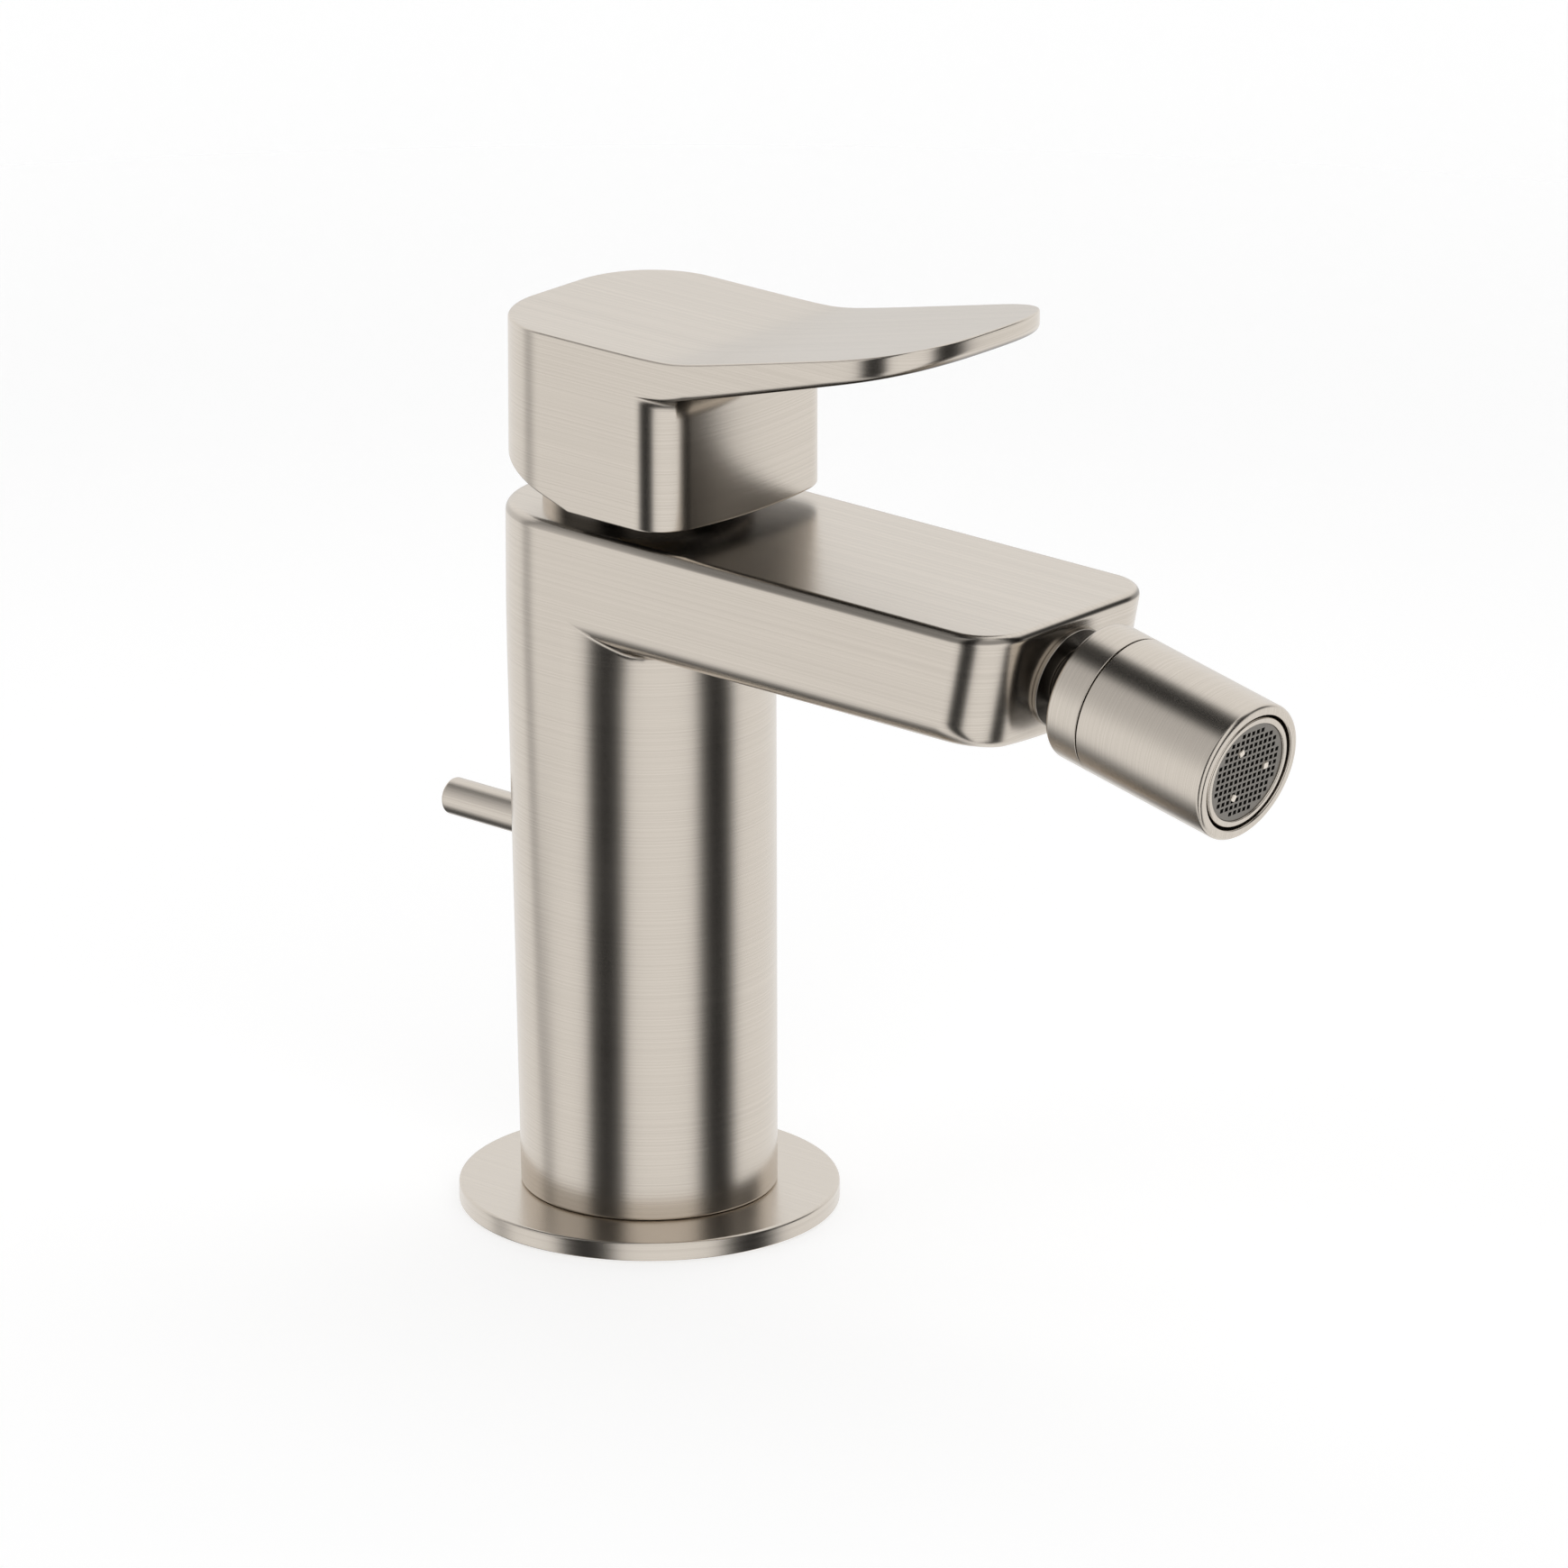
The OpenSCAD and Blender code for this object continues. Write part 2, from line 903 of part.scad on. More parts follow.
module rod_bush() {
    color(resin)
        translate([rod_x, 0, 0])
            band(rod_bore_r - running, rod_r + running, bush_z, bush_z + bush_h);
}

base_flange();
base_seal();
body();
cartridge_seals();
cartridge_base();
fixed_disc();
moving_disc();
disc_carrier();
cartridge_housing();
spindle_guide();
spindle_pin();
spindle();
limit_ring();
cartridge_nut();
neck_ring();
handle();
handle_screw();
screw_cap();
ball_stem();
stem_seal();
ball_liner();
ball_cap();
ball_seal();
nozzle_housing();
aerator_seal();
aerator_cage();
flow_disc();
aerator_mesh();
aerator_grid();
waste_knob();
lift_block();
lift_rod();
rod_bush();
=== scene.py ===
"""Bidet mixer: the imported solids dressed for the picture.

Each visible shell is a surface worked out with numpy: a stack of closed rings, or a profile turned about an axis.
The inner pieces keep their solids and get their own finishes. All lengths are in metres, +X along the spout, +Z up.
"""

import json
import math

import bmesh
import bpy
import numpy as np
from bpy.props import FloatProperty, FloatVectorProperty, PointerProperty
from mathutils import Matrix


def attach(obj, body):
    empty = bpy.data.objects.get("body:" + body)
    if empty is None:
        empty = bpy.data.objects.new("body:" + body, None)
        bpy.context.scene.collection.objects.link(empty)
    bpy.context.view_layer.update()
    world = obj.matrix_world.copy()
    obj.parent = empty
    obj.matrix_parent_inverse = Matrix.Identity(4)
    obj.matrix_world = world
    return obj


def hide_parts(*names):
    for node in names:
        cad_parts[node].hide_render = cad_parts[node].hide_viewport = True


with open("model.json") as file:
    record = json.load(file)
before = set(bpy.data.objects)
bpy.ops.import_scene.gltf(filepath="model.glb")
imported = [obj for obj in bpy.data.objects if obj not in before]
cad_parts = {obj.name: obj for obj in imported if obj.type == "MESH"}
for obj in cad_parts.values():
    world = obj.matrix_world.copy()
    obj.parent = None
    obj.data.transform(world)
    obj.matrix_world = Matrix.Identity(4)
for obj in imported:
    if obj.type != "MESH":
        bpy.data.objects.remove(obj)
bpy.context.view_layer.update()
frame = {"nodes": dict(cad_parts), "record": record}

bl_info = {
    "name": "Bidet mixer",
    "version": (1, 0, 0),
    "blender": (4, 5, 0),
    "location": "View3D > Sidebar > Mixer",
    "description": "Builds the outer shells, finishes and studio of a single-lever bidet mixer",
    "category": "Object",
}

IMAGE_SIDE = 1740  # pixels across the picture that the focal length was measured in
SENSOR = 36.0  # width of the camera's sensor in millimetres
CAMERA_TURN = 41.27  # degrees from the column's front towards +X
SHARP = math.radians(32)  # edges that turn by more stay crisp
TURNED_POINTS = 160  # points round a turned piece, a wide one, the flange and a small one or a cutter
WIDE_POINTS = 200
FLANGE_POINTS = 240
SMALL_POINTS = 96
MERGE = 1e-7  # points closer than this become one
SUPPORT = 5e-5  # flat strip beside a rounded edge, which keeps the shading of the flats even
OVERSHOOT = 0.001  # how far a cutter stands out of the piece
PLAY = 5e-5  # room between a piece and its seat
SKINS = {}


class BodySizes(bpy.types.PropertyGroup):
    """Sizes of the column, the spout and the base."""

    flange_r: FloatProperty(
        name="Flange radius", description="Outer radius of the base flange", default=0.030, unit="LENGTH")
    flange_t: FloatProperty(
        name="Flange thickness", description="Height of the flange's top above the deck", default=0.003,
        unit="LENGTH")
    spigot_r: FloatProperty(
        name="Spigot radius", description="Radius of the body's foot inside the flange", default=0.018,
        unit="LENGTH")
    foot_r: FloatProperty(
        name="Foot radius", description="Radius of the round column above the flange", default=0.0202,
        unit="LENGTH")
    foot_edge: FloatProperty(
        name="Foot edge", description="Rounding of the column's foot, which shows as a dark seam", default=0.0005,
        unit="LENGTH")
    half: FloatProperty(
        name="Half width", description="Half the width of the spout", default=0.020, unit="LENGTH")
    low: FloatProperty(
        name="Spout underside", description="Height of the spout's underside", default=0.0966, unit="LENGTH")
    top: FloatProperty(
        name="Spout top", description="Height of the spout's flat top", default=0.1154, unit="LENGTH")
    reach: FloatProperty(
        name="Spout reach", description="Distance from the column axis to the spout's upper end edge",
        default=0.0878, unit="LENGTH")
    rake: FloatProperty(
        name="End rake", description="Lean of the spout's end face", default=math.radians(11.8), subtype="ANGLE")
    end_r: FloatProperty(
        name="End corner", description="Plan radius of the spout's end corners", default=0.0084, unit="LENGTH")
    rear_r: FloatProperty(
        name="Rear corner", description="Plan radius of the rear corners", default=0.015, unit="LENGTH")
    low_edge: FloatProperty(
        name="Lower edge", description="Rounding of the spout's lower edge at the sides", default=0.0042,
        unit="LENGTH")
    end_low_edge: FloatProperty(
        name="Lower end edge", description="Rounding of the spout's lower edge at the end", default=0.0012,
        unit="LENGTH")
    top_edge: FloatProperty(
        name="Upper edge", description="Rounding of the spout's upper edge", default=0.0016, unit="LENGTH")
    hollow: FloatProperty(
        name="Underside fillet", description="Hollow between the column and the spout's underside", default=0.002,
        unit="LENGTH")
    crown: FloatProperty(
        name="Underside crown", description="Fall of the spout's underside towards its middle", default=0.00097,
        unit="LENGTH")
    ring_r: FloatProperty(
        name="Neck ring radius", description="Outer radius of the ring below the handle", default=0.0163,
        unit="LENGTH")
    ring_top: FloatProperty(
        name="Neck ring top", description="Height of the neck ring's top", default=0.1176, unit="LENGTH")


class HandleSizes(bpy.types.PropertyGroup):
    """Sizes of the hub and the lever blade."""

    half: FloatProperty(
        name="Half width", description="Half the width of the hub", default=0.020, unit="LENGTH")
    low: FloatProperty(
        name="Hub underside", description="Height of the hub's front underside", default=0.118, unit="LENGTH")
    top: FloatProperty(
        name="Hub top", description="Height of the hub's top", default=0.1459, unit="LENGTH")
    slope: FloatProperty(
        name="Rear slope", description="Rise of the underside towards the rear", default=math.radians(18),
        subtype="ANGLE")
    slope_x: FloatProperty(
        name="Slope start", description="Position along X where the rear slope starts", default=0.0013, unit="LENGTH")
    rear: FloatProperty(
        name="Rear", description="Distance from the column axis to the hub's rear", default=0.019, unit="LENGTH")
    rear_r: FloatProperty(
        name="Rear corner", description="Plan radius of the hub's rear corners", default=0.0145, unit="LENGTH")
    front: FloatProperty(
        name="Front", description="Distance from the column axis to the middle of the hub's front", default=0.0228,
        unit="LENGTH")
    bow: FloatProperty(
        name="Front bow", description="Plan radius of the hub's bowed front", default=0.075, unit="LENGTH")
    front_r: FloatProperty(
        name="Front corner", description="Plan radius of the hub's front corners", default=0.0074, unit="LENGTH")
    reach: FloatProperty(
        name="Lever reach", description="Distance from the column axis to the lever's tip", default=0.0708,
        unit="LENGTH")
    rise: FloatProperty(
        name="Lever rise", description="Height of the tip above the hub's top", default=0.0113, unit="LENGTH")
    bend: FloatProperty(
        name="Bend", description="Distance from the column axis to the bend of the lever", default=0.0222,
        unit="LENGTH")
    bend_soft: FloatProperty(
        name="Bend softness", description="Length over which the lever bends", default=0.004, unit="LENGTH")
    root_t: FloatProperty(
        name="Root thickness", description="Thickness of the blade at the hub", default=0.0063, unit="LENGTH")
    tip_t: FloatProperty(
        name="Tip thickness", description="Thickness of the blade at its tip", default=0.0033, unit="LENGTH")
    tip_len: FloatProperty(
        name="Tip length", description="Length of the curve that ends the blade", default=0.018, unit="LENGTH")
    tip_power: FloatProperty(
        name="Tip fullness", description="Power of the tip's curve: 2 is an ellipse, more is squarer", default=2.75)
    taper: FloatProperty(
        name="Taper", description="Narrowing of each side per length", default=0.0125, subtype="FACTOR")
    top_edge: FloatProperty(
        name="Upper edge", description="Rounding of the handle's upper edge", default=0.0004, unit="LENGTH")
    rear_edge: FloatProperty(
        name="Rear upper edge", description="Rounding of the hub's upper edge at the rear", default=0.0008,
        unit="LENGTH")
    low_edge: FloatProperty(
        name="Lower edge", description="Rounding of the blade's lower edge", default=0.0013, unit="LENGTH")
    hollow: FloatProperty(
        name="Underside fillet", description="Hollow between the hub's front and the blade", default=0.004,
        unit="LENGTH")
    hub_edge: FloatProperty(
        name="Hub lower edge", description="Rounding of the hub's lower edge", default=0.0004, unit="LENGTH")


class NozzleSizes(bpy.types.PropertyGroup):
    """Sizes of the swivel nozzle, along its own axis from the centre of the ball."""

    ball: FloatVectorProperty(
        name="Ball centre", description="Centre of the swivel ball", default=(0.0950286, 0.0, 0.1030568),
        unit="LENGTH", subtype="XYZ")
    dip: FloatProperty(
        name="Dip", description="Angle of the nozzle below the horizontal", default=math.radians(11.8),
        subtype="ANGLE")
    radius: FloatProperty(
        name="Radius", description="Outer radius of the nozzle", default=0.01125, unit="LENGTH")
    mouth: FloatProperty(
        name="Mouth", description="Distance from the ball's centre to the mouth", default=0.027, unit="LENGTH")
    seat: FloatProperty(
        name="Seat", description="Distance from the ball's centre back to the spout's end face", default=0.0096,
        unit="LENGTH")
    collar_r: FloatProperty(
        name="Collar radius", description="Radius of the collar on the end face", default=0.0082, unit="LENGTH")
    collar_t: FloatProperty(
        name="Collar thickness", description="Thickness of the collar", default=0.0008, unit="LENGTH")
    ball_r: FloatProperty(
        name="Ball radius", description="Radius of the swivel ball", default=0.008, unit="LENGTH")
    cap_edge: FloatProperty(
        name="Cap edge", description="Rounding of the ball cap's rear edge", default=0.0008, unit="LENGTH")
    mouth_edge: FloatProperty(
        name="Mouth edge", description="Rounding of the mouth's outer edge", default=0.0007, unit="LENGTH")


class KnobSizes(bpy.types.PropertyGroup):
    """Sizes of the waste knob and the cap of the handle screw."""

    radius: FloatProperty(
        name="Knob radius", description="Radius of the waste knob", default=0.003, unit="LENGTH")
    height: FloatProperty(
        name="Knob height", description="Height of the waste knob, pushed down", default=0.0572, unit="LENGTH")
    inner: FloatProperty(
        name="Inner end", description="Position of the knob's inner end along X", default=-0.0087, unit="LENGTH")
    outer: FloatProperty(
        name="Free end", description="Position of the knob's free end along X", default=-0.0414, unit="LENGTH")
    edge: FloatProperty(
        name="Knob edge", description="Rounding of the knob's free end", default=0.0005, unit="LENGTH")
    travel: FloatProperty(
        name="Lift", description="Travel of the waste knob", default=0.018, unit="LENGTH")
    cap_r: FloatProperty(
        name="Screw cap radius", description="Radius of the cap over the handle screw", default=0.0033,
        unit="LENGTH")
    cap_z: FloatProperty(
        name="Screw cap height", description="Height of the cap over the handle screw", default=0.131,
        unit="LENGTH")


class Finishes(bpy.types.PropertyGroup):
    """Colours of the finishes, as linear values."""

    nickel: FloatVectorProperty(
        name="Satin nickel", description="Lighter tint of the brushed nickel", default=(0.68, 0.62, 0.548),
        subtype="COLOR", size=3)
    nickel_deep: FloatVectorProperty(
        name="Satin nickel, lines", description="Darker tint of the brush lines", default=(0.615, 0.56, 0.494),
        subtype="COLOR", size=3)
    brass: FloatVectorProperty(
        name="Brass", description="Turned brass", default=(0.62, 0.46, 0.20), subtype="COLOR", size=3)
    steel: FloatVectorProperty(
        name="Steel", description="Stainless steel", default=(0.56, 0.56, 0.57), subtype="COLOR", size=3)
    rubber: FloatVectorProperty(
        name="Rubber", description="Black rubber", default=(0.02, 0.02, 0.02), subtype="COLOR", size=3)
    dark_resin: FloatVectorProperty(
        name="Dark resin", description="Dark moulded resin", default=(0.08, 0.08, 0.09), subtype="COLOR", size=3)
    pale_resin: FloatVectorProperty(
        name="Pale resin", description="Pale moulded resin", default=(0.75, 0.74, 0.70), subtype="COLOR", size=3)
    grey_resin: FloatVectorProperty(
        name="Grey resin", description="Grey moulded resin", default=(0.38, 0.35, 0.31), subtype="COLOR", size=3)
    red_resin: FloatVectorProperty(
        name="Red resin", description="Red moulded resin", default=(0.50, 0.04, 0.03), subtype="COLOR", size=3)
    ceramic: FloatVectorProperty(
        name="Ceramic", description="Lapped ceramic", default=(0.85, 0.84, 0.80), subtype="COLOR", size=3)


class StudioSettings(bpy.types.PropertyGroup):
    """Camera, floor and light."""

    turn: FloatProperty(
        name="Camera turn", description="Angle of the camera from the column's front towards +X",
        default=math.radians(CAMERA_TURN), subtype="ANGLE")
    height: FloatProperty(
        name="Camera height", description="Elevation of the camera", default=math.radians(18.91), subtype="ANGLE")
    distance: FloatProperty(
        name="Distance", description="Distance of the camera", default=2.442, unit="LENGTH")
    across: FloatProperty(
        name="Aim across", description="Shift of the camera to the right", default=0.0212, unit="LENGTH")
    above: FloatProperty(
        name="Aim above", description="Shift of the camera upwards", default=0.0647, unit="LENGTH")
    focal: FloatProperty(
        name="Focal length", description="Focal length in image widths", default=17184 / IMAGE_SIDE)
    floor: FloatVectorProperty(
        name="Floor", description="Colour of the floor", default=(0.50, 0.50, 0.50), subtype="COLOR", size=3)
    floor_r: FloatProperty(
        name="Floor radius", description="Radius of the floor", default=0.9, unit="LENGTH")


class MixerSettings(bpy.types.PropertyGroup):
    """All settings of the mixer."""

    body: PointerProperty(name="Body", description="Column, spout and base", type=BodySizes)
    handle: PointerProperty(name="Handle", description="Hub and lever", type=HandleSizes)
    nozzle: PointerProperty(name="Nozzle", description="Swivel nozzle", type=NozzleSizes)
    knob: PointerProperty(name="Knob", description="Waste knob and screw cap", type=KnobSizes)
    finish: PointerProperty(name="Finishes", description="Colours", type=Finishes)
    studio: PointerProperty(name="Studio", description="Camera, floor and light", type=StudioSettings)


# Meshes from rings


def ring_faces(rings, points, closed=False):
    """Quads between neighbouring rings of equal point counts; a closed stack joins its last ring to its first."""
    j, i = np.meshgrid(np.arange(rings if closed else rings - 1), np.arange(points), indexing="ij")
    k = (i + 1) % points
    up = (j + 1) % rings
    return np.stack([j * points + i, j * points + k, up * points + k, up * points + i], -1).reshape(-1, 4)


def ladder(points, start):
    """Upward cap over a ring that mirrors in the XZ plane: rung i joins point i to its mirror, point count - i."""
    i = np.arange(1, points // 2 - 1)
    quads = np.stack([i, i + 1, points - i - 1, points - i], -1) + start
    mid = points // 2
    ends = np.array([[0, 1, points - 1], [mid - 1, mid, mid + 1]]) + start
    return quads.tolist() + ends.tolist()


def clean(mesh):
    """Merges doubled points and takes out edges without length, with the faces that fall flat."""
    work = bmesh.new()
    work.from_mesh(mesh)
    bmesh.ops.remove_doubles(work, verts=work.verts, dist=MERGE)
    bmesh.ops.dissolve_degenerate(work, edges=work.edges, dist=MERGE)
    work.to_mesh(mesh)
    work.free()


def lay_mesh(name, points, faces):
    """Object from an array of points and lists of faces, with doubled points merged."""
    mesh = bpy.data.meshes.new(name)
    mesh.from_pydata(np.asarray(points).reshape(-1, 3).tolist(), [], faces)
    clean(mesh)
    made = bpy.data.objects.new(name, mesh)
    bpy.context.scene.collection.objects.link(made)
    return made


def stack_mesh(name, rings):
    """Closed solid through a stack of rings from the lowest to the highest, with ladder caps at both ends."""
    count, points = rings.shape[:2]
    low = [face[::-1] for face in ladder(points, 0)]
    high = ladder(points, (count - 1) * points)
    return lay_mesh(name, rings, ring_faces(count, points).tolist() + low + high)


def cut(shell, cutters):
    """Takes the cutters out of the shell one after the other and removes them."""
    for cutter in cutters:
        tool = shell.modifiers.new(cutter.name, "BOOLEAN")
        tool.operation = "DIFFERENCE"
        tool.solver = "MANIFOLD"
        tool.object = cutter
    graph = bpy.context.evaluated_depsgraph_get()
    mesh = bpy.data.meshes.new_from_object(shell.evaluated_get(graph))
    mesh.name = shell.name
    clean(mesh)
    shell.modifiers.clear()
    shell.data = mesh
    for cutter in cutters:
        bpy.data.objects.remove(cutter)


def finish_piece(piece, body, material, nodes=()):
    """Smooths the piece with its edges kept crisp, gives it its finish and ties it to its body."""
    mesh = piece.data
    mesh.polygons.foreach_set("use_smooth", np.ones(len(mesh.polygons), bool))
    mesh.set_sharp_from_angle(angle=SHARP)
    mesh.materials.clear()
    mesh.materials.append(material)
    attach(piece, body)
    if nodes:
        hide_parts(*nodes)


# Profiles and outlines


def unit(v):
    """Vector of length one."""
    return v / np.linalg.norm(v)


def rounded(corners, steps=8, lead=SUPPORT):
    """Polygon with round corners, from rows of (radius, height, rounding).

    At corner P with unit sides u and v and half angle h, the arc of radius r touches the sides r / tan(h) from P,
    and its centre lies r / sin(h) from P along u + v. A short lead before and after keeps the flats flat.
    """
    rows = np.array(corners, float)
    parts = []
    for k, (p, r) in enumerate(zip(rows[:, :2], rows[:, 2])):
        if r == 0:
            parts.append(p[None])
            continue
        u = unit(rows[k - 1, :2] - p)
        v = unit(rows[(k + 1) % len(rows), :2] - p)
        half = math.acos(np.clip(u @ v, -1, 1)) / 2
        touch = r / math.tan(half)
        centre = p + unit(u + v) * r / math.sin(half)
        sweep = math.pi - 2 * half
        t = np.linspace(0, 1, steps + 1)[:, None]
        first, last = p + u * touch - centre, p + v * touch - centre
        arc = centre + (np.sin((1 - t) * sweep) * first + np.sin(t * sweep) * last) / math.sin(sweep)
        parts += [(p + u * (touch + lead))[None], arc, (p + v * (touch + lead))[None]]
    return np.concatenate(parts)


def placed(points, place):
    """Points brought from the place's own axes to the part's."""
    return points @ np.array(place.to_3x3()).T + np.array(place.translation)


def turned(name, profile, place=Matrix.Identity(4), points=TURNED_POINTS, closed=True):
    """Solid of revolution: each (radius, height) of the profile runs round the place's Z axis.

    The profile goes up on the outside and down on the inside. An open one starts and ends on the axis.
    """
    a = np.arange(points) * 2 * math.pi / points
    r, h = profile[:, :1], profile[:, 1:]
    local = np.stack([r * np.cos(a), r * np.sin(a), h + 0 * a], -1)
    return lay_mesh(name, placed(local, place), ring_faces(len(profile), points, closed).tolist())


def plug(name, r, low, high, place=Matrix.Identity(4), points=SMALL_POINTS):
    """Plain round solid between two heights on the place's Z axis."""
    profile = np.array([[0, low], [r, low], [r, high], [0, high]])
    return turned(name, profile, place, points, closed=False)


def prism(name, outline, low, high, place=Matrix.Identity(4)):
    """Cutter with a mirrored plan outline between two heights on the place's Z axis."""
    return stack_mesh(name, placed(np.stack([raised(outline, z) for z in (low, high)]), place))


def along_x(z):
    """Place whose Z axis runs along +X at height z."""
    return Matrix.Translation((0, 0, z)) @ Matrix.Rotation(math.pi / 2, 4, "Y")


def along_back(x, z):
    """Place at x and height z whose Z axis runs along -X."""
    return Matrix.Translation((x, 0, z)) @ Matrix.Rotation(-math.pi / 2, 4, "Y")


def nozzle_place(nozzle):
    """Place at the ball's centre whose Z axis points out of the mouth."""
    return Matrix.Translation(nozzle.ball) @ Matrix.Rotation(math.pi / 2 + nozzle.dip, 4, "Y")


def mirrored(half):
    """Whole ring, counter-clockwise from the front, from its half with y >= 0."""
    return np.concatenate([half, half[-2:0:-1] * [1, -1]])


def quarter_steps(count, first=0):
    """Angles in radians from the first one, in degrees, to a right angle."""
    return np.radians(np.linspace(first, 90, count))


def straight(x, first, last, count):
    """Flat end of an outline: points at one x, from the first y to the last."""
    return np.column_stack([np.full(count, x), np.linspace(first, last, count)])


def quarter(cx, cy, r, first, count):
    """Quarter arc about (cx, cy) from the angle first, counter-clockwise, without its last point."""
    a = np.radians(np.linspace(first, first + 90, count + 1)[:-1])
    return np.column_stack([cx + r * np.cos(a), cy + r * np.sin(a)])


def outward(ring):
    """Plan normals of a counter-clockwise ring, square to the chord between each point's neighbours."""
    chord = np.roll(ring, -1, 0) - np.roll(ring, 1, 0)
    normal = np.column_stack([chord[:, 1], -chord[:, 0]])
    return normal / np.linalg.norm(normal, axis=1, keepdims=True)


def square_reach(angle, half, corner):
    """Distance from the centre to a rounded square: half / cos on the flats, along + root on the corner arcs."""
    c, s = np.abs(np.cos(angle)), np.abs(np.sin(angle))
    flat = half - corner
    along = flat * (c + s)
    arc = along + np.sqrt(np.maximum(along ** 2 - 2 * flat ** 2 + corner ** 2, 0))
    with np.errstate(divide="ignore"):
        return np.where(half * s <= flat * c, half / c, np.where(half * c <= flat * s, half / s, arc))


def raised(plan, z):
    """Ring of points from plan positions and heights."""
    return np.column_stack([plan, np.broadcast_to(z, len(plan))])


# Body

# Points along the spout's outline: half the end, its corner, a side, a rear corner and half the rear
NOSE_POINTS, END_CORNER_POINTS, FLANK_POINTS, REAR_CORNER_POINTS, BACK_POINTS = 13, 28, 121, 40, 7
COLUMN_RINGS = 14
FLAT_STEPS = (0.04, 0.25, 0.5, 0.75, 0.96)  # rings across the spout's underside
SIDE_STEPS = (0.02, 0.2, 0.4, 0.6, 0.8, 0.98)  # rings up the spout's side
FOOT_GAP = 2e-5  # room between the column's foot and the flange
LEAST_HOLLOW = 0.3  # share of the hollow's height that stays where there is no room for it

# Bores for the inner pieces, as the solids have them: radius, ends and position
CARTRIDGE_R, CARTRIDGE_FLOOR = 0.0155, 0.084
PORT_R, PORT_TOP, PORT_Y = 0.003, 0.085, 0.0075
SOCKET_R, SOCKET_TOP = 0.0045, 0.012
STUD_R, STUD_TOP, STUD_X = 0.0034, 0.016, 0.0115
ROD_R, ROD_TOP, ROD_X = 0.005, 0.0805, -0.0122
CHANNEL_R, CHANNEL_START, CHANNEL_Z = 0.004, 0.0142, 0.1038
STEM_BORE_R, STEM_BORE_DEPTH = 0.00555, 0.009
STEM_SEAT_R, STEM_SEAT_DEPTH = 0.00695, 0.0012
SLOT_GAP, SLOT_START = 0.0003, -0.0404


def spout_outline(body):
    """Plan of the spout at its underside: a rounded rectangle."""
    end = body.reach - (body.top - body.low) * math.tan(body.rake)
    h, e, r = body.half, body.end_r, body.rear_r
    near, far = math.atan2(h, end - e), math.atan2(h, r - h)
    side = h / np.tan(np.linspace(near, far, FLANK_POINTS)[:-1])
    return mirrored(np.concatenate([
        straight(end, 0, h - e, NOSE_POINTS)[:-1],
        quarter(end - e, h - e, e, 0, END_CORNER_POINTS),
        np.column_stack([side, np.full(len(side), h)]),
        quarter(r - h, h - r, r, 90, REAR_CORNER_POINTS),
        straight(-h, h - r, 0, BACK_POINTS)]))


def raked(body, plan, rise):
    """Plan at some rise above the underside: the end moves out by rise * tan(rake), the sides by a share of it."""
    share = np.clip(plan[:, 0] / (plan[:, 0].max() - body.end_r), 0, 1)
    return plan + np.outer(share * rise * math.tan(body.rake), [1, 0])


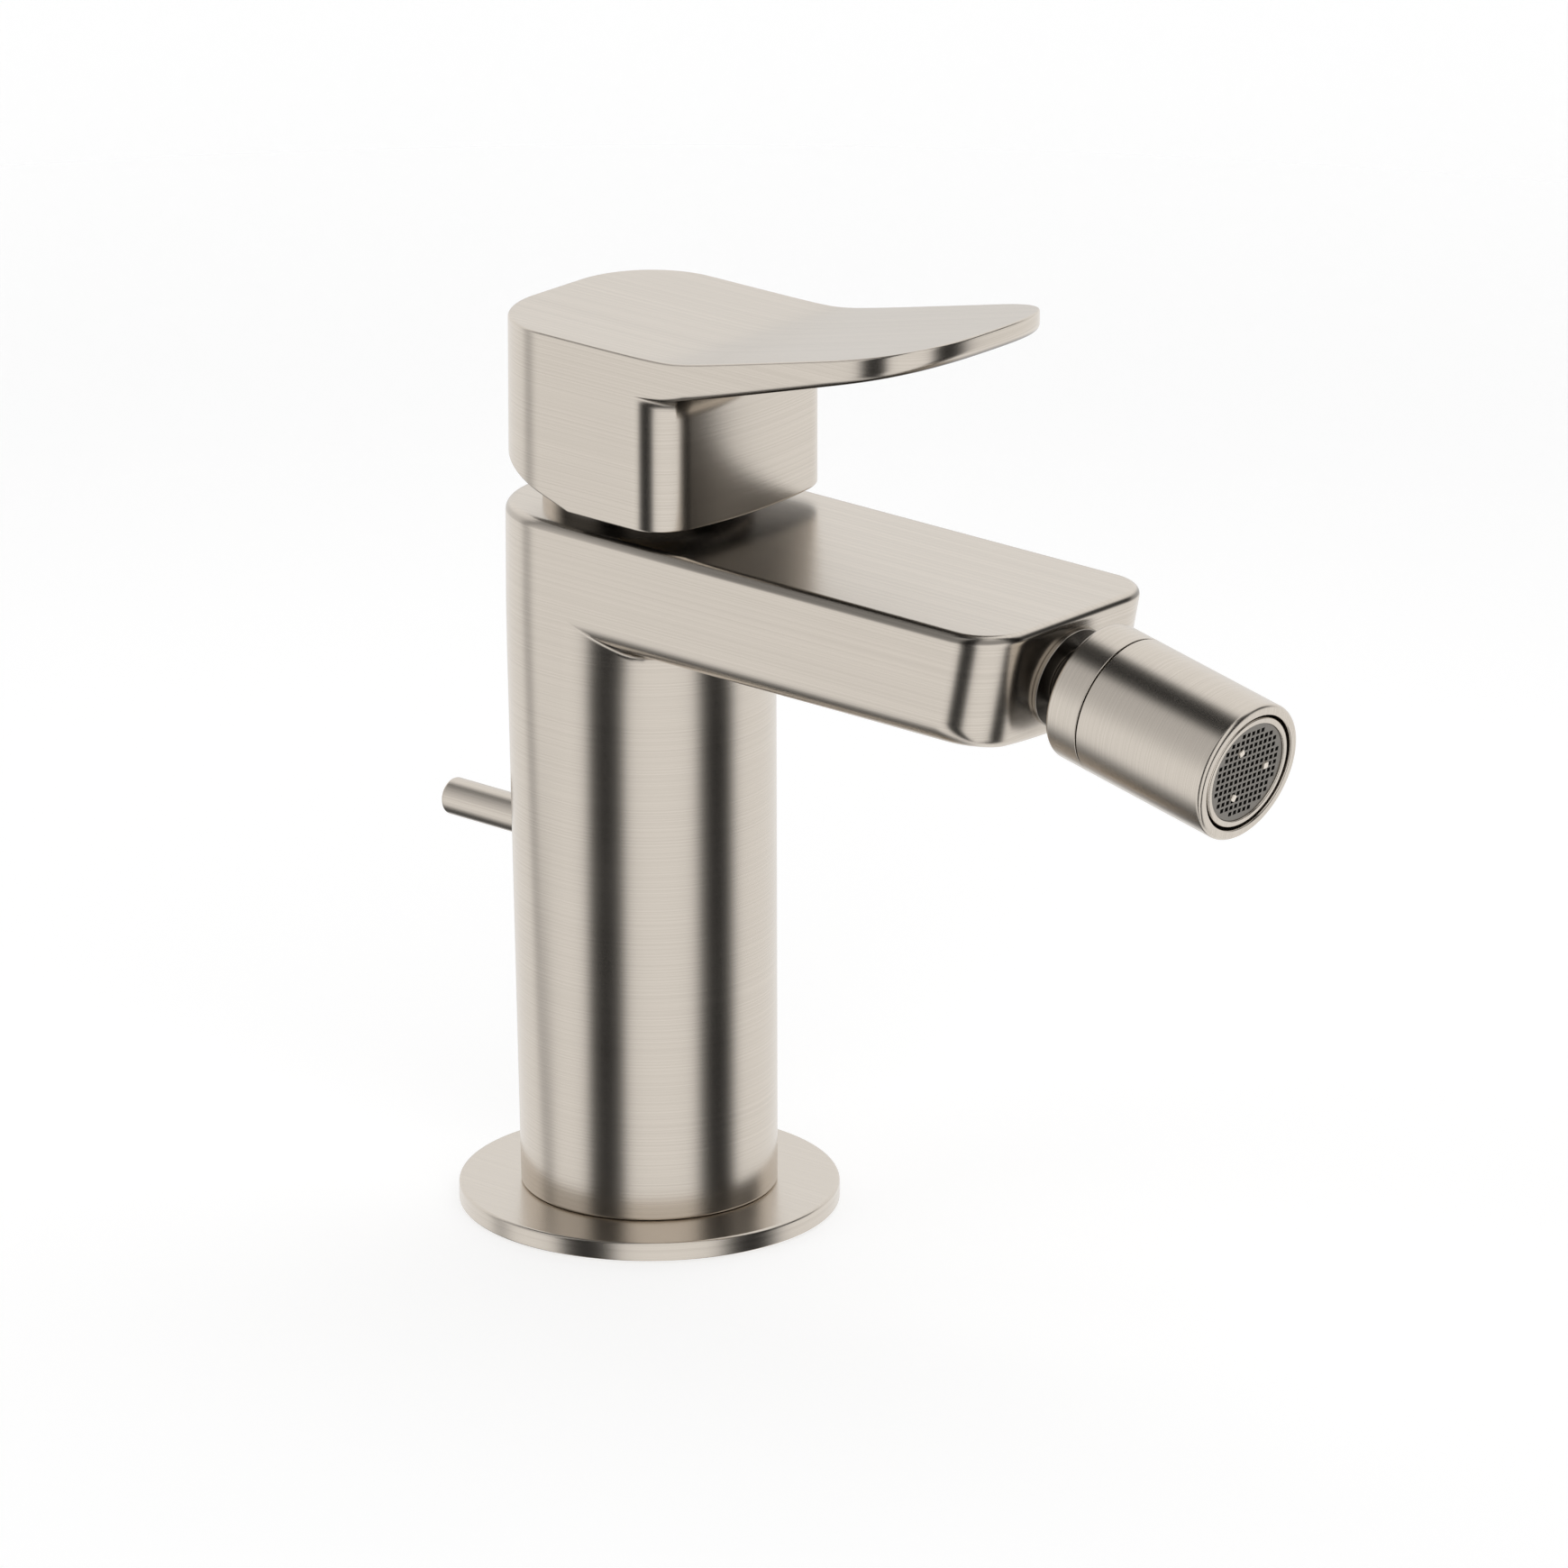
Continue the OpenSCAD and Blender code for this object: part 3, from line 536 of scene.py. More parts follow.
def body_rings(body):
    """Rings of the column and spout.

    The column's radius runs straight from the round foot to a half circle in front and a rounded square behind.
    The underside joins both: a hollow of radius c at the column, scaled by the room between the two outlines, a
    flat, and a round edge at the spout. The edge is wide at the sides and narrow at the end: end + (side - end) *
    ny ** 2 for the outline's normal n. Where the column reaches to a depth d < edge below the side, the edge's arc
    starts at the angle asin(1 - d / edge), so that the crease climbs the round edge towards the side. Between its
    edges the underside sags by crown * (1 - (y / w) ** 2), with w its half width.
    """
    low = spout_outline(body)
    normal = outward(low)
    angle = np.arctan2(low[:, 1], low[:, 0])
    ray = np.column_stack([np.cos(angle), np.sin(angle)])
    top_r = np.where(ray[:, 0] < 0, square_reach(angle, body.half, body.rear_r), body.half)
    room = np.maximum(np.hypot(*low.T) - top_r, 0)
    edge = body.end_low_edge + (body.low_edge - body.end_low_edge) * normal[:, 1] ** 2
    fade = np.clip(room / (body.hollow + edge), 0, 1)
    share = fade[:, None]
    room_x = (body.half + body.hollow * fade) ** 2 - low[:, 0] ** 2
    depth = np.where(low[:, 0] > 0, body.half - np.sqrt(np.maximum(room_x, 0)), 0)
    first = np.arcsin(np.clip(1 - depth / edge, 0, 1))
    floor = body.low + edge * (1 - np.cos(first))

    def column(z):
        k = np.minimum((z - body.flange_t) / (body.low - body.flange_t), 1)
        return ray * ((1 - k) * body.foot_r + k * top_r)[:, None]

    def sag(plan):
        return body.crown * fade * np.maximum(1 - (plan[:, 1] / (body.half - body.low_edge)) ** 2, 0)

    foot = body.flange_t + FOOT_GAP
    rings = [raised(ray * body.spigot_r, 0), raised(ray * body.spigot_r, foot)]
    for t in quarter_steps(7):
        z = foot + body.foot_edge * (1 - math.cos(t))
        rings.append(raised(column(z) - ray * body.foot_edge * (1 - math.sin(t)), z))
    start = foot + body.foot_edge + SUPPORT
    hollow_z = body.hollow * (LEAST_HOLLOW + (1 - LEAST_HOLLOW) * fade)
    for k in np.linspace(0, 1, COLUMN_RINGS):
        z = start + k * (floor - hollow_z - start)
        rings.append(raised(column(z), z))
    wall = column(floor - hollow_z)
    for t in quarter_steps(10, 9):
        plan = wall + ray * body.hollow * share * (1 - math.cos(t))
        rings.append(raised(plan, floor - hollow_z * (1 - math.sin(t)) - sag(plan) * math.sin(t)))
    inner = wall + ray * body.hollow * share
    drawn = normal * (edge * (1 - np.sin(first)))[:, None]
    outer = raked(body, low, floor - body.low - sag(low - drawn)) - drawn
    for k in FLAT_STEPS:
        plan = inner + (outer - inner) * k
        rings.append(raised(plan, floor - sag(plan)))
    for k in np.linspace(0, 1, 15):
        t = first + (math.pi / 2 - first) * k
        drawn = normal * (edge * (1 - np.sin(t)))[:, None]
        rise = edge * (1 - np.cos(t)) - sag(low - drawn)
        rings.append(raised(raked(body, low, rise) - drawn, body.low + rise))
    side_high = body.top - body.top_edge - body.low
    for k in SIDE_STEPS:
        rise = edge - sag(low) + k * (side_high - edge + sag(low))
        rings.append(raised(raked(body, low, rise), body.low + rise))
    for t in quarter_steps(9):
        rise = side_high + body.top_edge * math.sin(t)
        plan = raked(body, low, rise) - normal * body.top_edge * (1 - math.cos(t))
        rings.append(raised(plan, body.low + rise))
    rim = raked(body, low, body.top - body.low)
    rings.append(raised(rim - normal * (body.top_edge + 2 * SUPPORT), body.top))
    return np.stack(rings)


def knob_slot(knob):
    """Outline of the upright slot behind the column, mirrored about its own middle."""
    r = knob.radius + SLOT_GAP
    rise = knob.travel / 2
    a = quarter_steps(17)
    half = np.concatenate([
        np.column_stack([rise + r * np.cos(a), r * np.sin(a)]),
        np.column_stack([-rise - r * np.sin(a), r * np.cos(a)])])
    return mirrored(half)


def body_cutters(settings):
    """Bores of the body: cartridge, ports, sockets, stud, lift rod, water channel, ball stem and knob slot.

    The slot's outline lies in the YZ plane, its length along Z, and runs inwards along +X.
    """
    body, knob, nozzle = settings.body, settings.knob, settings.nozzle
    upright = Matrix(((0, 0, 1, 0), (0, -1, 0, 0), (1, 0, 0, 0), (0, 0, 0, 1)))
    slot = Matrix.Translation((SLOT_START, 0, knob.height + knob.travel / 2)) @ upright
    end, seat = nozzle_place(nozzle), -nozzle.seat
    made = [plug("cartridge_bore", CARTRIDGE_R, CARTRIDGE_FLOOR, body.top + OVERSHOOT)]
    for y in (-PORT_Y, PORT_Y):
        port = Matrix.Translation((0, y, 0))
        made.append(plug("port", PORT_R, -OVERSHOOT, PORT_TOP, port))
        made.append(plug("socket", SOCKET_R, -OVERSHOOT, SOCKET_TOP, port))
    return made + [
        plug("stud", STUD_R, -OVERSHOOT, STUD_TOP, Matrix.Translation((STUD_X, 0, 0))),
        plug("rod_bore", ROD_R, -OVERSHOOT, ROD_TOP, Matrix.Translation((ROD_X, 0, 0))),
        plug("channel", CHANNEL_R, CHANNEL_START, nozzle.ball[0], along_x(CHANNEL_Z)),
        plug("stem_bore", STEM_BORE_R, seat - STEM_BORE_DEPTH, seat + OVERSHOOT, end),
        plug("stem_seat", STEM_SEAT_R, seat - STEM_SEAT_DEPTH, seat + OVERSHOOT, end),
        prism("slot", knob_slot(knob), 0, ROD_X - SLOT_START, slot),
    ]


# Handle

# Points along the handle's outline: half the tip, a side, a rear corner and half the rear
TIP_POINTS, LEVER_POINTS, HUB_CORNER_POINTS, HUB_BACK_POINTS = 57, 141, 44, 7
BLADE_STEPS = (0.03, 0.2, 0.4, 0.6, 0.8, 0.97)  # rings across the blade's underside
BLADE_SIDE_STEPS = (0.05, 0.35, 0.65, 0.95)  # rings up the blade's side
WALL_RINGS = 10
TAPER_START, TAPER_SOFT = 0.6667, 0.003  # where the sides start to narrow, in half widths, and over what length
LEAST_SOFT = 0.25  # share of the hollow's and the edge's height that stays where there is no room for them

# Hollows of the hub, the cap over its screw, and the edge at the waste knob's hidden end
HUB_BORE_R, HUB_BORE_DEPTH = 0.0168, 0.007
SQUARE_HALF, SQUARE_DEPTH = 0.00405, 0.019
SQUARE_POINTS = 9
SCREW_HOLE_R = 0.00255
SCREW_CAP_DEPTH, SCREW_CAP_EDGE = 0.0018, 0.0003
KNOB_INNER_EDGE = 0.0002


def lever_top(handle, x):
    """Height of the handle's top: level on the hub, then a straight rise, joined by a soft bend."""
    d = x - handle.bend
    slope = handle.rise / (handle.reach - handle.bend)
    return handle.top + slope * (d + np.sqrt(d ** 2 + handle.bend_soft ** 2)) / 2


def lever_thickness(handle, x):
    """Thickness of the blade: even over the hub, then thinning in a straight line to the tip."""
    k = np.clip((x - handle.half) / (handle.reach - handle.half), 0, 1)
    return handle.root_t + (handle.tip_t - handle.root_t) * k


def lever_half(handle, x):
    """Half the width of the handle: even at the hub, then narrowing by the taper."""
    d = x - TAPER_START * handle.half
    return handle.half - handle.taper * (d + np.sqrt(d ** 2 + TAPER_SOFT ** 2)) / 2


def lever_outline(handle):
    """Plan of the handle's top: the hub's rear, two tapered sides and a full curve at the tip.

    The tip follows x = x1 + a cos(t) ** (2 / n), y = w sin(t) ** (2 / n), with length a, half width w and power n.
    """
    r, h, rear = handle.rear_r, handle.half, handle.rear
    root = handle.reach - handle.tip_len
    wide = float(lever_half(handle, root))
    t = quarter_steps(TIP_POINTS)[:-1]
    bow = 2 / handle.tip_power
    tip = np.column_stack([root + handle.tip_len * np.cos(t) ** bow, wide * np.sin(t) ** bow])
    near, far = math.atan2(wide, root), math.atan2(h, r - rear)
    x = h / np.tan(np.linspace(near, far, LEVER_POINTS)[:-1]) * np.linspace(wide / h, 1, LEVER_POINTS - 1)
    return mirrored(np.concatenate([
        tip,
        np.column_stack([x, lever_half(handle, x)]),
        quarter(r - rear, h - r, r, 90, HUB_CORNER_POINTS),
        straight(-rear, h - r, 0, HUB_BACK_POINTS)]))


def hub_reach(handle, angle):
    """Distance from the axis to the hub's plan: a bowed front, corner arcs that touch it, and flat sides.

    A circle of radius r about c lies c.u + sqrt((c.u) ** 2 - c.c + r ** 2) along the unit direction u.
    """
    c, s = np.abs(np.cos(angle)), np.abs(np.sin(angle))
    h, r, bow = handle.half, handle.front_r, handle.bow
    turn = math.asin((h - r) / (bow - r))
    middle = handle.front - bow
    cx, cy = middle + (bow - r) * math.cos(turn), h - r
    front = middle * c + np.sqrt(bow ** 2 - (middle * s) ** 2)
    along = cx * c + cy * s
    arc = along + np.sqrt(np.maximum(along ** 2 - cx ** 2 - cy ** 2 + r ** 2, 0))
    first = math.atan2(bow * math.sin(turn), middle + bow * math.cos(turn))
    last = math.atan2(h, cx)
    a = np.arctan2(s, c)
    return np.where(a < first, front, np.where(a < last, arc, h / np.maximum(s, 1e-9)))


def handle_rings(handle):
    """Rings of the hub and the lever blade.

    Hub and blade share their rear and sides. Towards the front the blade runs on: a hollow of radius c at the hub,
    the underside at top minus thickness, and a round lower edge, both scaled by the room between the outlines.
    """
    blade = lever_outline(handle)
    normal = outward(blade)
    angle = np.arctan2(blade[:, 1], blade[:, 0])
    reach = hub_reach(handle, angle)
    room = np.where(np.cos(angle) < 0, 0, np.maximum(np.hypot(*blade.T) - reach, 0))
    hub = np.column_stack([np.cos(angle), np.sin(angle)]) * (np.hypot(*blade.T) - room)[:, None]
    hub_normal = outward(hub)
    share = np.clip(room / (handle.hollow + handle.low_edge), 0, 1)[:, None]
    soft = LEAST_SOFT + (1 - LEAST_SOFT) * share[:, 0]
    top_edge = handle.top_edge + (handle.rear_edge - handle.top_edge) * np.maximum(-normal[:, 0], 0) ** 2

    def under(plan):
        return lever_top(handle, plan[:, 0]) - lever_thickness(handle, plan[:, 0])

    def bottom(plan):
        return handle.low + math.tan(handle.slope) * np.maximum(handle.slope_x - plan[:, 0], 0)

    rings = []
    for t in quarter_steps(6):
        inset = hub - hub_normal * handle.hub_edge * (1 - math.sin(t))
        rings.append(raised(inset, bottom(inset) + handle.hub_edge * (1 - math.cos(t))))
    hollow_z = handle.hollow * soft
    wall_low = bottom(hub) + handle.hub_edge + SUPPORT
    wall_high = under(hub) - hollow_z
    for k in np.linspace(0, 1, WALL_RINGS):
        rings.append(raised(hub, wall_low + k * (wall_high - wall_low)))
    for t in quarter_steps(12, 7.5):
        plan = hub + hub_normal * handle.hollow * share * (1 - math.cos(t))
        rings.append(raised(plan, under(plan) - hollow_z * (1 - math.sin(t))))
    inner = hub + hub_normal * handle.hollow * share
    outer = blade - normal * handle.low_edge * share
    for k in BLADE_STEPS:
        plan = inner + (outer - inner) * k
        rings.append(raised(plan, under(plan)))
    edge_z = handle.low_edge * soft
    for t in quarter_steps(10):
        plan = blade - normal * handle.low_edge * share * (1 - math.sin(t))
        rings.append(raised(plan, under(plan) + edge_z * (1 - math.cos(t))))
    side_low = under(blade) + edge_z
    side_high = lever_top(handle, blade[:, 0]) - top_edge
    for k in BLADE_SIDE_STEPS:
        rings.append(raised(blade, side_low + k * (side_high - side_low)))
    for t in quarter_steps(9):
        plan = blade - normal * top_edge[:, None] * (1 - math.cos(t))
        rings.append(raised(plan, lever_top(handle, plan[:, 0]) - top_edge * (1 - math.sin(t))))
    plan = blade - normal * (top_edge + 2 * SUPPORT)[:, None]
    rings.append(raised(plan, lever_top(handle, plan[:, 0])))
    return np.stack(rings)


def handle_cutters(settings):
    """Hollows of the handle: the hub's bore, the square socket, the screw hole and the seat of its cap."""
    handle, knob = settings.handle, settings.knob
    screw = along_x(knob.cap_z)
    outside = -handle.rear - OVERSHOOT
    t = np.linspace(0, 1, SQUARE_POINTS)[:, None]
    corners = SQUARE_HALF * np.array([[1, 0], [1, 1], [-1, 1], [-1, 0]])
    square = mirrored(np.concatenate([
        corners[0] + (corners[1] - corners[0]) * t[:-1], corners[1] + (corners[2] - corners[1]) * t[:-1],
        corners[2] + (corners[3] - corners[2]) * t]))
    return [
        plug("hub_bore", HUB_BORE_R, handle.low - OVERSHOOT, handle.low + HUB_BORE_DEPTH, points=TURNED_POINTS),
        prism("stem_socket", square, handle.low, handle.low + SQUARE_DEPTH),
        plug("screw_hole", SCREW_HOLE_R, outside, 0, screw),
        plug("cap_seat", knob.cap_r + PLAY, outside, -handle.rear + SCREW_CAP_DEPTH, screw),
    ]


# Rings

FLANGE_LOW_EDGE, FLANGE_EDGE = 0.0002, 0.0005
SEAL_IN, SEAL_OUT, SEAL_DEPTH = 0.02095, 0.02705, 0.00125  # groove for the seal under the flange
NECK_BORE, NECK_SKIRT, NECK_ROOF = 0.012, 0.0155, 0.1167  # inside of the neck ring
NECK_EDGE, NECK_BORE_EDGE = 0.0005, 0.0002


def flange_profile(body):
    """Flange with the body's spigot in its bore and a groove for the seal in its underside."""
    r, t, bore = body.flange_r, body.flange_t, body.spigot_r + PLAY
    return rounded([
        (r, 0, FLANGE_LOW_EDGE), (r, t, FLANGE_EDGE), (bore, t, 0), (bore, 0, 0),
        (SEAL_IN, 0, 0), (SEAL_IN, SEAL_DEPTH, 0), (SEAL_OUT, SEAL_DEPTH, 0), (SEAL_OUT, 0, 0)])


def neck_profile(body):
    """Ring with a short skirt that stands on the body and a roof that reaches in over the cartridge's nut."""
    r, low, top = body.ring_r, body.top, body.ring_top
    return rounded([
        (r, low, 0), (r, top, NECK_EDGE), (NECK_BORE, top, NECK_BORE_EDGE),
        (NECK_BORE, NECK_ROOF, 0), (NECK_SKIRT, NECK_ROOF, 0), (NECK_SKIRT, low, 0)])


# Nozzle, with heights along its own axis from the ball's centre

STEM_R, NECK_R, THREAD_R, THREAD_LENGTH = 0.003, 0.005, 0.0055, 0.008  # bore, neck and thread of the ball stem
COLLAR_REAR_EDGE, COLLAR_EDGE = 0.0001, 0.0002
BALL_STEPS, CUP_STEPS, CAP_EDGE_STEPS = 40, 20, 12
CAP_REAR, CAP_FRONT = -0.00445, 0.0018
BALL_SPACE, SKIRT_R, SKIRT_END = 0.009, 0.00985, 0.0055  # room for the ball and its liner, and the cap's skirt
SEAM, SEAM_EDGE = 0.00025, 0.00012
SLEEVE_THREAD_R = 0.0099
WEB_R, WEB_START, WEB_END = 0.007, 0.0083, 0.012
CHAMBER_R, CHAMBER_EDGE = 0.00955, 0.00025
CAGE_OUT, CAGE_IN, CAGE_START, CAGE_END = 0.0091, 0.0081, 0.0135, 0.0268
CAGE_OUT_EDGE, CAGE_IN_EDGE = 0.0003, 0.0002
LIP_R, LIP_T = 0.006, 0.0015
TAB_TURNS, TAB_R, TAB_Z = (90, 210, 330), 0.0044, 0.0265
TAB_HALF, TAB_CORNER, TAB_EDGE, TAB_RISE, TAB_SINK = 0.00055, 0.0002, 0.00012, 0.00025, 0.0002
TAB_POINTS = 48


def stem_profile(nozzle):
    """Thread, collar, neck and ball of the stem: the ball is an arc from the neck's radius to the bore's."""
    first = math.asin(-math.sqrt(1 - (NECK_R / nozzle.ball_r) ** 2))
    a = np.linspace(first, math.acos(STEM_R / nozzle.ball_r), BALL_STEPS)
    seat, front = -nozzle.seat, nozzle.collar_t - nozzle.seat
    end = seat - THREAD_LENGTH
    foot = rounded([
        (STEM_R, end, 0), (THREAD_R, end, 0), (THREAD_R, seat, 0), (nozzle.collar_r, seat, COLLAR_REAR_EDGE),
        (nozzle.collar_r, front, COLLAR_EDGE), (NECK_R, front, COLLAR_EDGE)])
    return np.concatenate([foot, nozzle.ball_r * np.column_stack([np.cos(a), np.sin(a)])])


def cap_profile(nozzle):
    """Rear ring of the nozzle and its skirt: the inside is an arc about the ball's centre."""
    r = nozzle.radius
    a = np.linspace(0, math.asin(-CAP_REAR / BALL_SPACE), CUP_STEPS)
    cup = BALL_SPACE * np.column_stack([np.cos(a), -np.sin(a)])
    rim = rounded([
        (cup[-1, 0], CAP_REAR, 0), (r, CAP_REAR, nozzle.cap_edge), (r, CAP_FRONT, SEAM_EDGE),
        (SKIRT_R, CAP_FRONT, 0), (SKIRT_R, SKIRT_END, 0), (BALL_SPACE, SKIRT_END, 0)], steps=CAP_EDGE_STEPS)
    return np.concatenate([rim, cup[:-1]])


def sleeve_profile(nozzle):
    """Sleeve of the nozzle: a thread for the cap's skirt behind the web, a chamber for the aerator before it."""
    r, mouth, seam = nozzle.radius, nozzle.mouth, CAP_FRONT + SEAM
    return rounded([
        (SLEEVE_THREAD_R, seam, 0), (r, seam, SEAM_EDGE), (r, mouth, nozzle.mouth_edge),
        (CHAMBER_R, mouth, CHAMBER_EDGE), (CHAMBER_R, WEB_END, 0), (WEB_R, WEB_END, 0), (WEB_R, WEB_START, 0),
        (SLEEVE_THREAD_R, WEB_START, 0)])


def cage_profile():
    """Ring just inside the mouth, with a lip at its inner end."""
    lip = CAGE_START + LIP_T
    return rounded([
        (LIP_R, CAGE_START, 0), (CAGE_OUT, CAGE_START, 0), (CAGE_OUT, CAGE_END, CAGE_OUT_EDGE),
        (CAGE_IN, CAGE_END, CAGE_IN_EDGE), (CAGE_IN, lip, 0), (LIP_R, lip, 0)])


def tab(name, place):
    """Small round-edged pad on the grid: rings of a rounded square drawn in over its top edge."""
    angle = np.arange(TAB_POINTS) * 2 * math.pi / TAB_POINTS
    ray = np.column_stack([np.cos(angle), np.sin(angle)])
    rings = [raised(ray * square_reach(angle, TAB_HALF, TAB_CORNER)[:, None], -TAB_SINK)]
    for t in quarter_steps(6):
        inset = TAB_EDGE * (1 - math.cos(t))
        plan = ray * square_reach(angle, TAB_HALF - inset, TAB_CORNER)[:, None]
        rings.append(raised(plan, TAB_RISE - TAB_EDGE * (1 - math.sin(t))))
    return stack_mesh(name, placed(np.stack(rings), place))


# Finishes

# Brushed and turned metal: roughness, frequency along and across the lines, height of the lines
WALL_BRUSH = (0.25, 5.0, 4200.0, 1.2e-6)
NOZZLE_BRUSH = (0.25, 8.0, 4200.0, 1.2e-6)
PAD_BRUSH = (0.2, 20.0, 4200.0, 1e-6)
TURNED_BRUSH = (0.3, 80.0, 3000.0, 9e-6)
PAD_GLINT, TURNED_DARK = 1.3, 0.85  # the pads' tint, lifted above the nickel as a painted highlight, and the turned metal's lines, against their colours
BRUSH_NOISE = {"Scale": 1.0, "Detail": 2.0, "Roughness": 0.6}
SMEAR_NOISE = {"Scale": 55.0, "Detail": 2.0, "Roughness": 0.5}
FLAT_RANGE = (0.55, 0.85)  # steepness over which the lines change from walls to tops
GLOSS_SPREAD = 0.04  # how far the lines and the smear change the roughness

# Moulded pieces: roughness, frequency and height of the grain
RUBBER_GRAIN = (0.6, 3000.0, 1.5e-5)
RESIN_GRAIN = (0.42, 4000.0, 8e-6)
GRID_GRAIN = (0.38, 4000.0, 8e-6)
CERAMIC_GRAIN = (0.15, 5000.0, 3e-6)
DRIFT_SCALE, GRAIN_SHARE, GRAIN_SPREAD = 120.0, 0.4, 0.12
GRAIN_DARK, GRAIN_LIGHT = 0.86, 1.08
TINT_RANGE = (0.3, 0.7)  # part of a noise's range over which the tint changes

# Painted shade, shadow and reflection, made from the position and the normal: where the change starts and ends, and
# the share of the tint at both
# painted shade on the faces that look down
UNDERSIDE_SHADE = (-0.85, -0.3, 0.12, 1.0)
# painted reflection: the dark line on the spout's upper edge, and how it fades towards the column
EDGE_START, EDGE_END = (0.05, 0.32, 0.0, 0.6), (0.5, 0.9, 0.0, 0.6)
EDGE_ALONG = (-0.005, 0.035, 0.4, 1.0)
# painted shadow of the hub on the neck ring's front half
NECK_SHADE = (-0.45, -0.15, 1.0, 0.12)
# painted shade on the collar, the neck and the ball in the gap behind the nozzle
BALL_SHADE = (-0.0088, -0.0084, 0.5, 0.1)
# painted shade in the holes of the mouth's grid
GRID_SHADE = (0.3, 0.8, 0.05, 1.0)
BLACK = (0, 0, 0, 1)


def add(tree, kind, settings=(), inputs=()):
    """New node with its settings; an input is a constant or the socket that feeds it."""
    made = tree.nodes.new(kind)
    for key, value in dict(settings).items():
        setattr(made, key, value)
    for key, value in dict(inputs).items():
        socket = made.inputs[key]
        if isinstance(value, bpy.types.NodeSocket):
            tree.links.new(value, socket)
        else:
            socket.default_value = value
    return made


def math_node(tree, operation, *values):
    """Output of a Math node."""
    return add(tree, "ShaderNodeMath", {"operation": operation}, dict(enumerate(values))).outputs[0]


def ramp(tree, value, low, high, start=0.0, end=1.0):
    """Smooth step of a value from low to high."""
    made = add(tree, "ShaderNodeMapRange", {"interpolation_type": "SMOOTHSTEP"}, {
        "Value": value, "From Min": low, "From Max": high, "To Min": start, "To Max": end})
    return made.outputs["Result"]


def part_of(tree, vector, axis):
    """Part of a vector along one axis."""
    return add(tree, "ShaderNodeSeparateXYZ", inputs={0: vector}).outputs[axis]


def blend_colour(tree, factor, first, second):
    """Mix of two colours."""
    made = add(tree, "ShaderNodeMix", {"data_type": "RGBA"})
    for key, value in (("Factor_Float", factor), ("A_Color", first), ("B_Color", second)):
        socket = next(s for s in made.inputs if s.identifier == key)
        if isinstance(value, bpy.types.NodeSocket):
            tree.links.new(value, socket)
        else:
            socket.default_value = value
    return next(s for s in made.outputs if s.identifier == "Result_Color")


def new_group(name, inputs, outputs):
    """Shader group with float or vector sockets; returns the tree, its input node and its output node."""
    tree = bpy.data.node_groups.new(name, "ShaderNodeTree")
    for label, kind, default in inputs:
        socket = tree.interface.new_socket(label, in_out="INPUT", socket_type=kind)
        if default is not None:
            socket.default_value = default
    for label, kind in outputs:
        tree.interface.new_socket(label, in_out="OUTPUT", socket_type=kind)
    return tree, tree.nodes.new("NodeGroupInput"), tree.nodes.new("NodeGroupOutput")


def brush_group():
    """Brush lines: noise drawn out along the brush. On walls the lines run level, on tops along X.

    Lines is the fine pattern, Smear a broad one for the gloss.
    """
    tree, source, sink = new_group(
        "Brush lines",
        [("Vector", "NodeSocketVector", None), ("Normal", "NodeSocketVector", None),
         ("Along", "NodeSocketFloat", 40.0), ("Across", "NodeSocketFloat", 2200.0)],
        [("Lines", "NodeSocketFloat"), ("Smear", "NodeSocketFloat")])
    along, across = source.outputs["Along"], source.outputs["Across"]
    noises = []
    for axes in ((along, along, across), (along, across, along)):
        scale = add(tree, "ShaderNodeCombineXYZ", inputs=dict(enumerate(axes)))
        vector = add(tree, "ShaderNodeVectorMath", {"operation": "MULTIPLY"}, {
            0: source.outputs["Vector"], 1: scale.outputs[0]})
        noises.append(add(tree, "ShaderNodeTexNoise", inputs={
            "Vector": vector.outputs[0], **BRUSH_NOISE}).outputs[0])
    flat = ramp(tree, math_node(tree, "ABSOLUTE", part_of(tree, source.outputs["Normal"], "Z")), *FLAT_RANGE)
    gap = math_node(tree, "SUBTRACT", noises[1], noises[0])
    lines = math_node(tree, "MULTIPLY_ADD", gap, flat, noises[0])
    smear = add(tree, "ShaderNodeTexNoise", inputs={"Vector": source.outputs["Vector"], **SMEAR_NOISE})
    tree.links.new(lines, sink.inputs["Lines"])
    tree.links.new(smear.outputs[0], sink.inputs["Smear"])
    return tree


def mould_group():
    """Moulded grain: a fine even speckle and a broad drift of tone."""
    tree, source, sink = new_group(
        "Moulded grain", [("Vector", "NodeSocketVector", None), ("Size", "NodeSocketFloat", 2500.0)],
        [("Grain", "NodeSocketFloat"), ("Drift", "NodeSocketFloat")])
    grain = add(tree, "ShaderNodeTexNoise", inputs={
        "Vector": source.outputs["Vector"], "Scale": source.outputs["Size"], "Detail": 2.0})
    drift = add(tree, "ShaderNodeTexNoise", inputs={
        "Vector": source.outputs["Vector"], "Scale": DRIFT_SCALE, "Detail": 2.0})
    tree.links.new(grain.outputs[0], sink.inputs["Grain"])
    tree.links.new(drift.outputs[0], sink.inputs["Drift"])
    return tree


def new_material(name):
    """Empty material with its output and main shader."""
    made = bpy.data.materials.new(name)
    made["finish"] = name
    made.use_nodes = True
    tree = made.node_tree
    tree.nodes.clear()
    shader = add(tree, "ShaderNodeBsdfPrincipled")
    out = add(tree, "ShaderNodeOutputMaterial", inputs={"Surface": shader.outputs[0]})
    out.is_active_output = True
    return made, tree, shader


def opaque(colour, scale=1.0):
    """Colour with alpha, made lighter or darker."""
    return tuple(min(c * scale, 1.0) for c in colour) + (1.0,)


def painted_underside_shade(tree, vector, normal):
    """Painted shade on undersides: whole tint on walls and tops, a dark share where the surface faces down."""
    return ramp(tree, part_of(tree, normal, "Z"), *UNDERSIDE_SHADE)


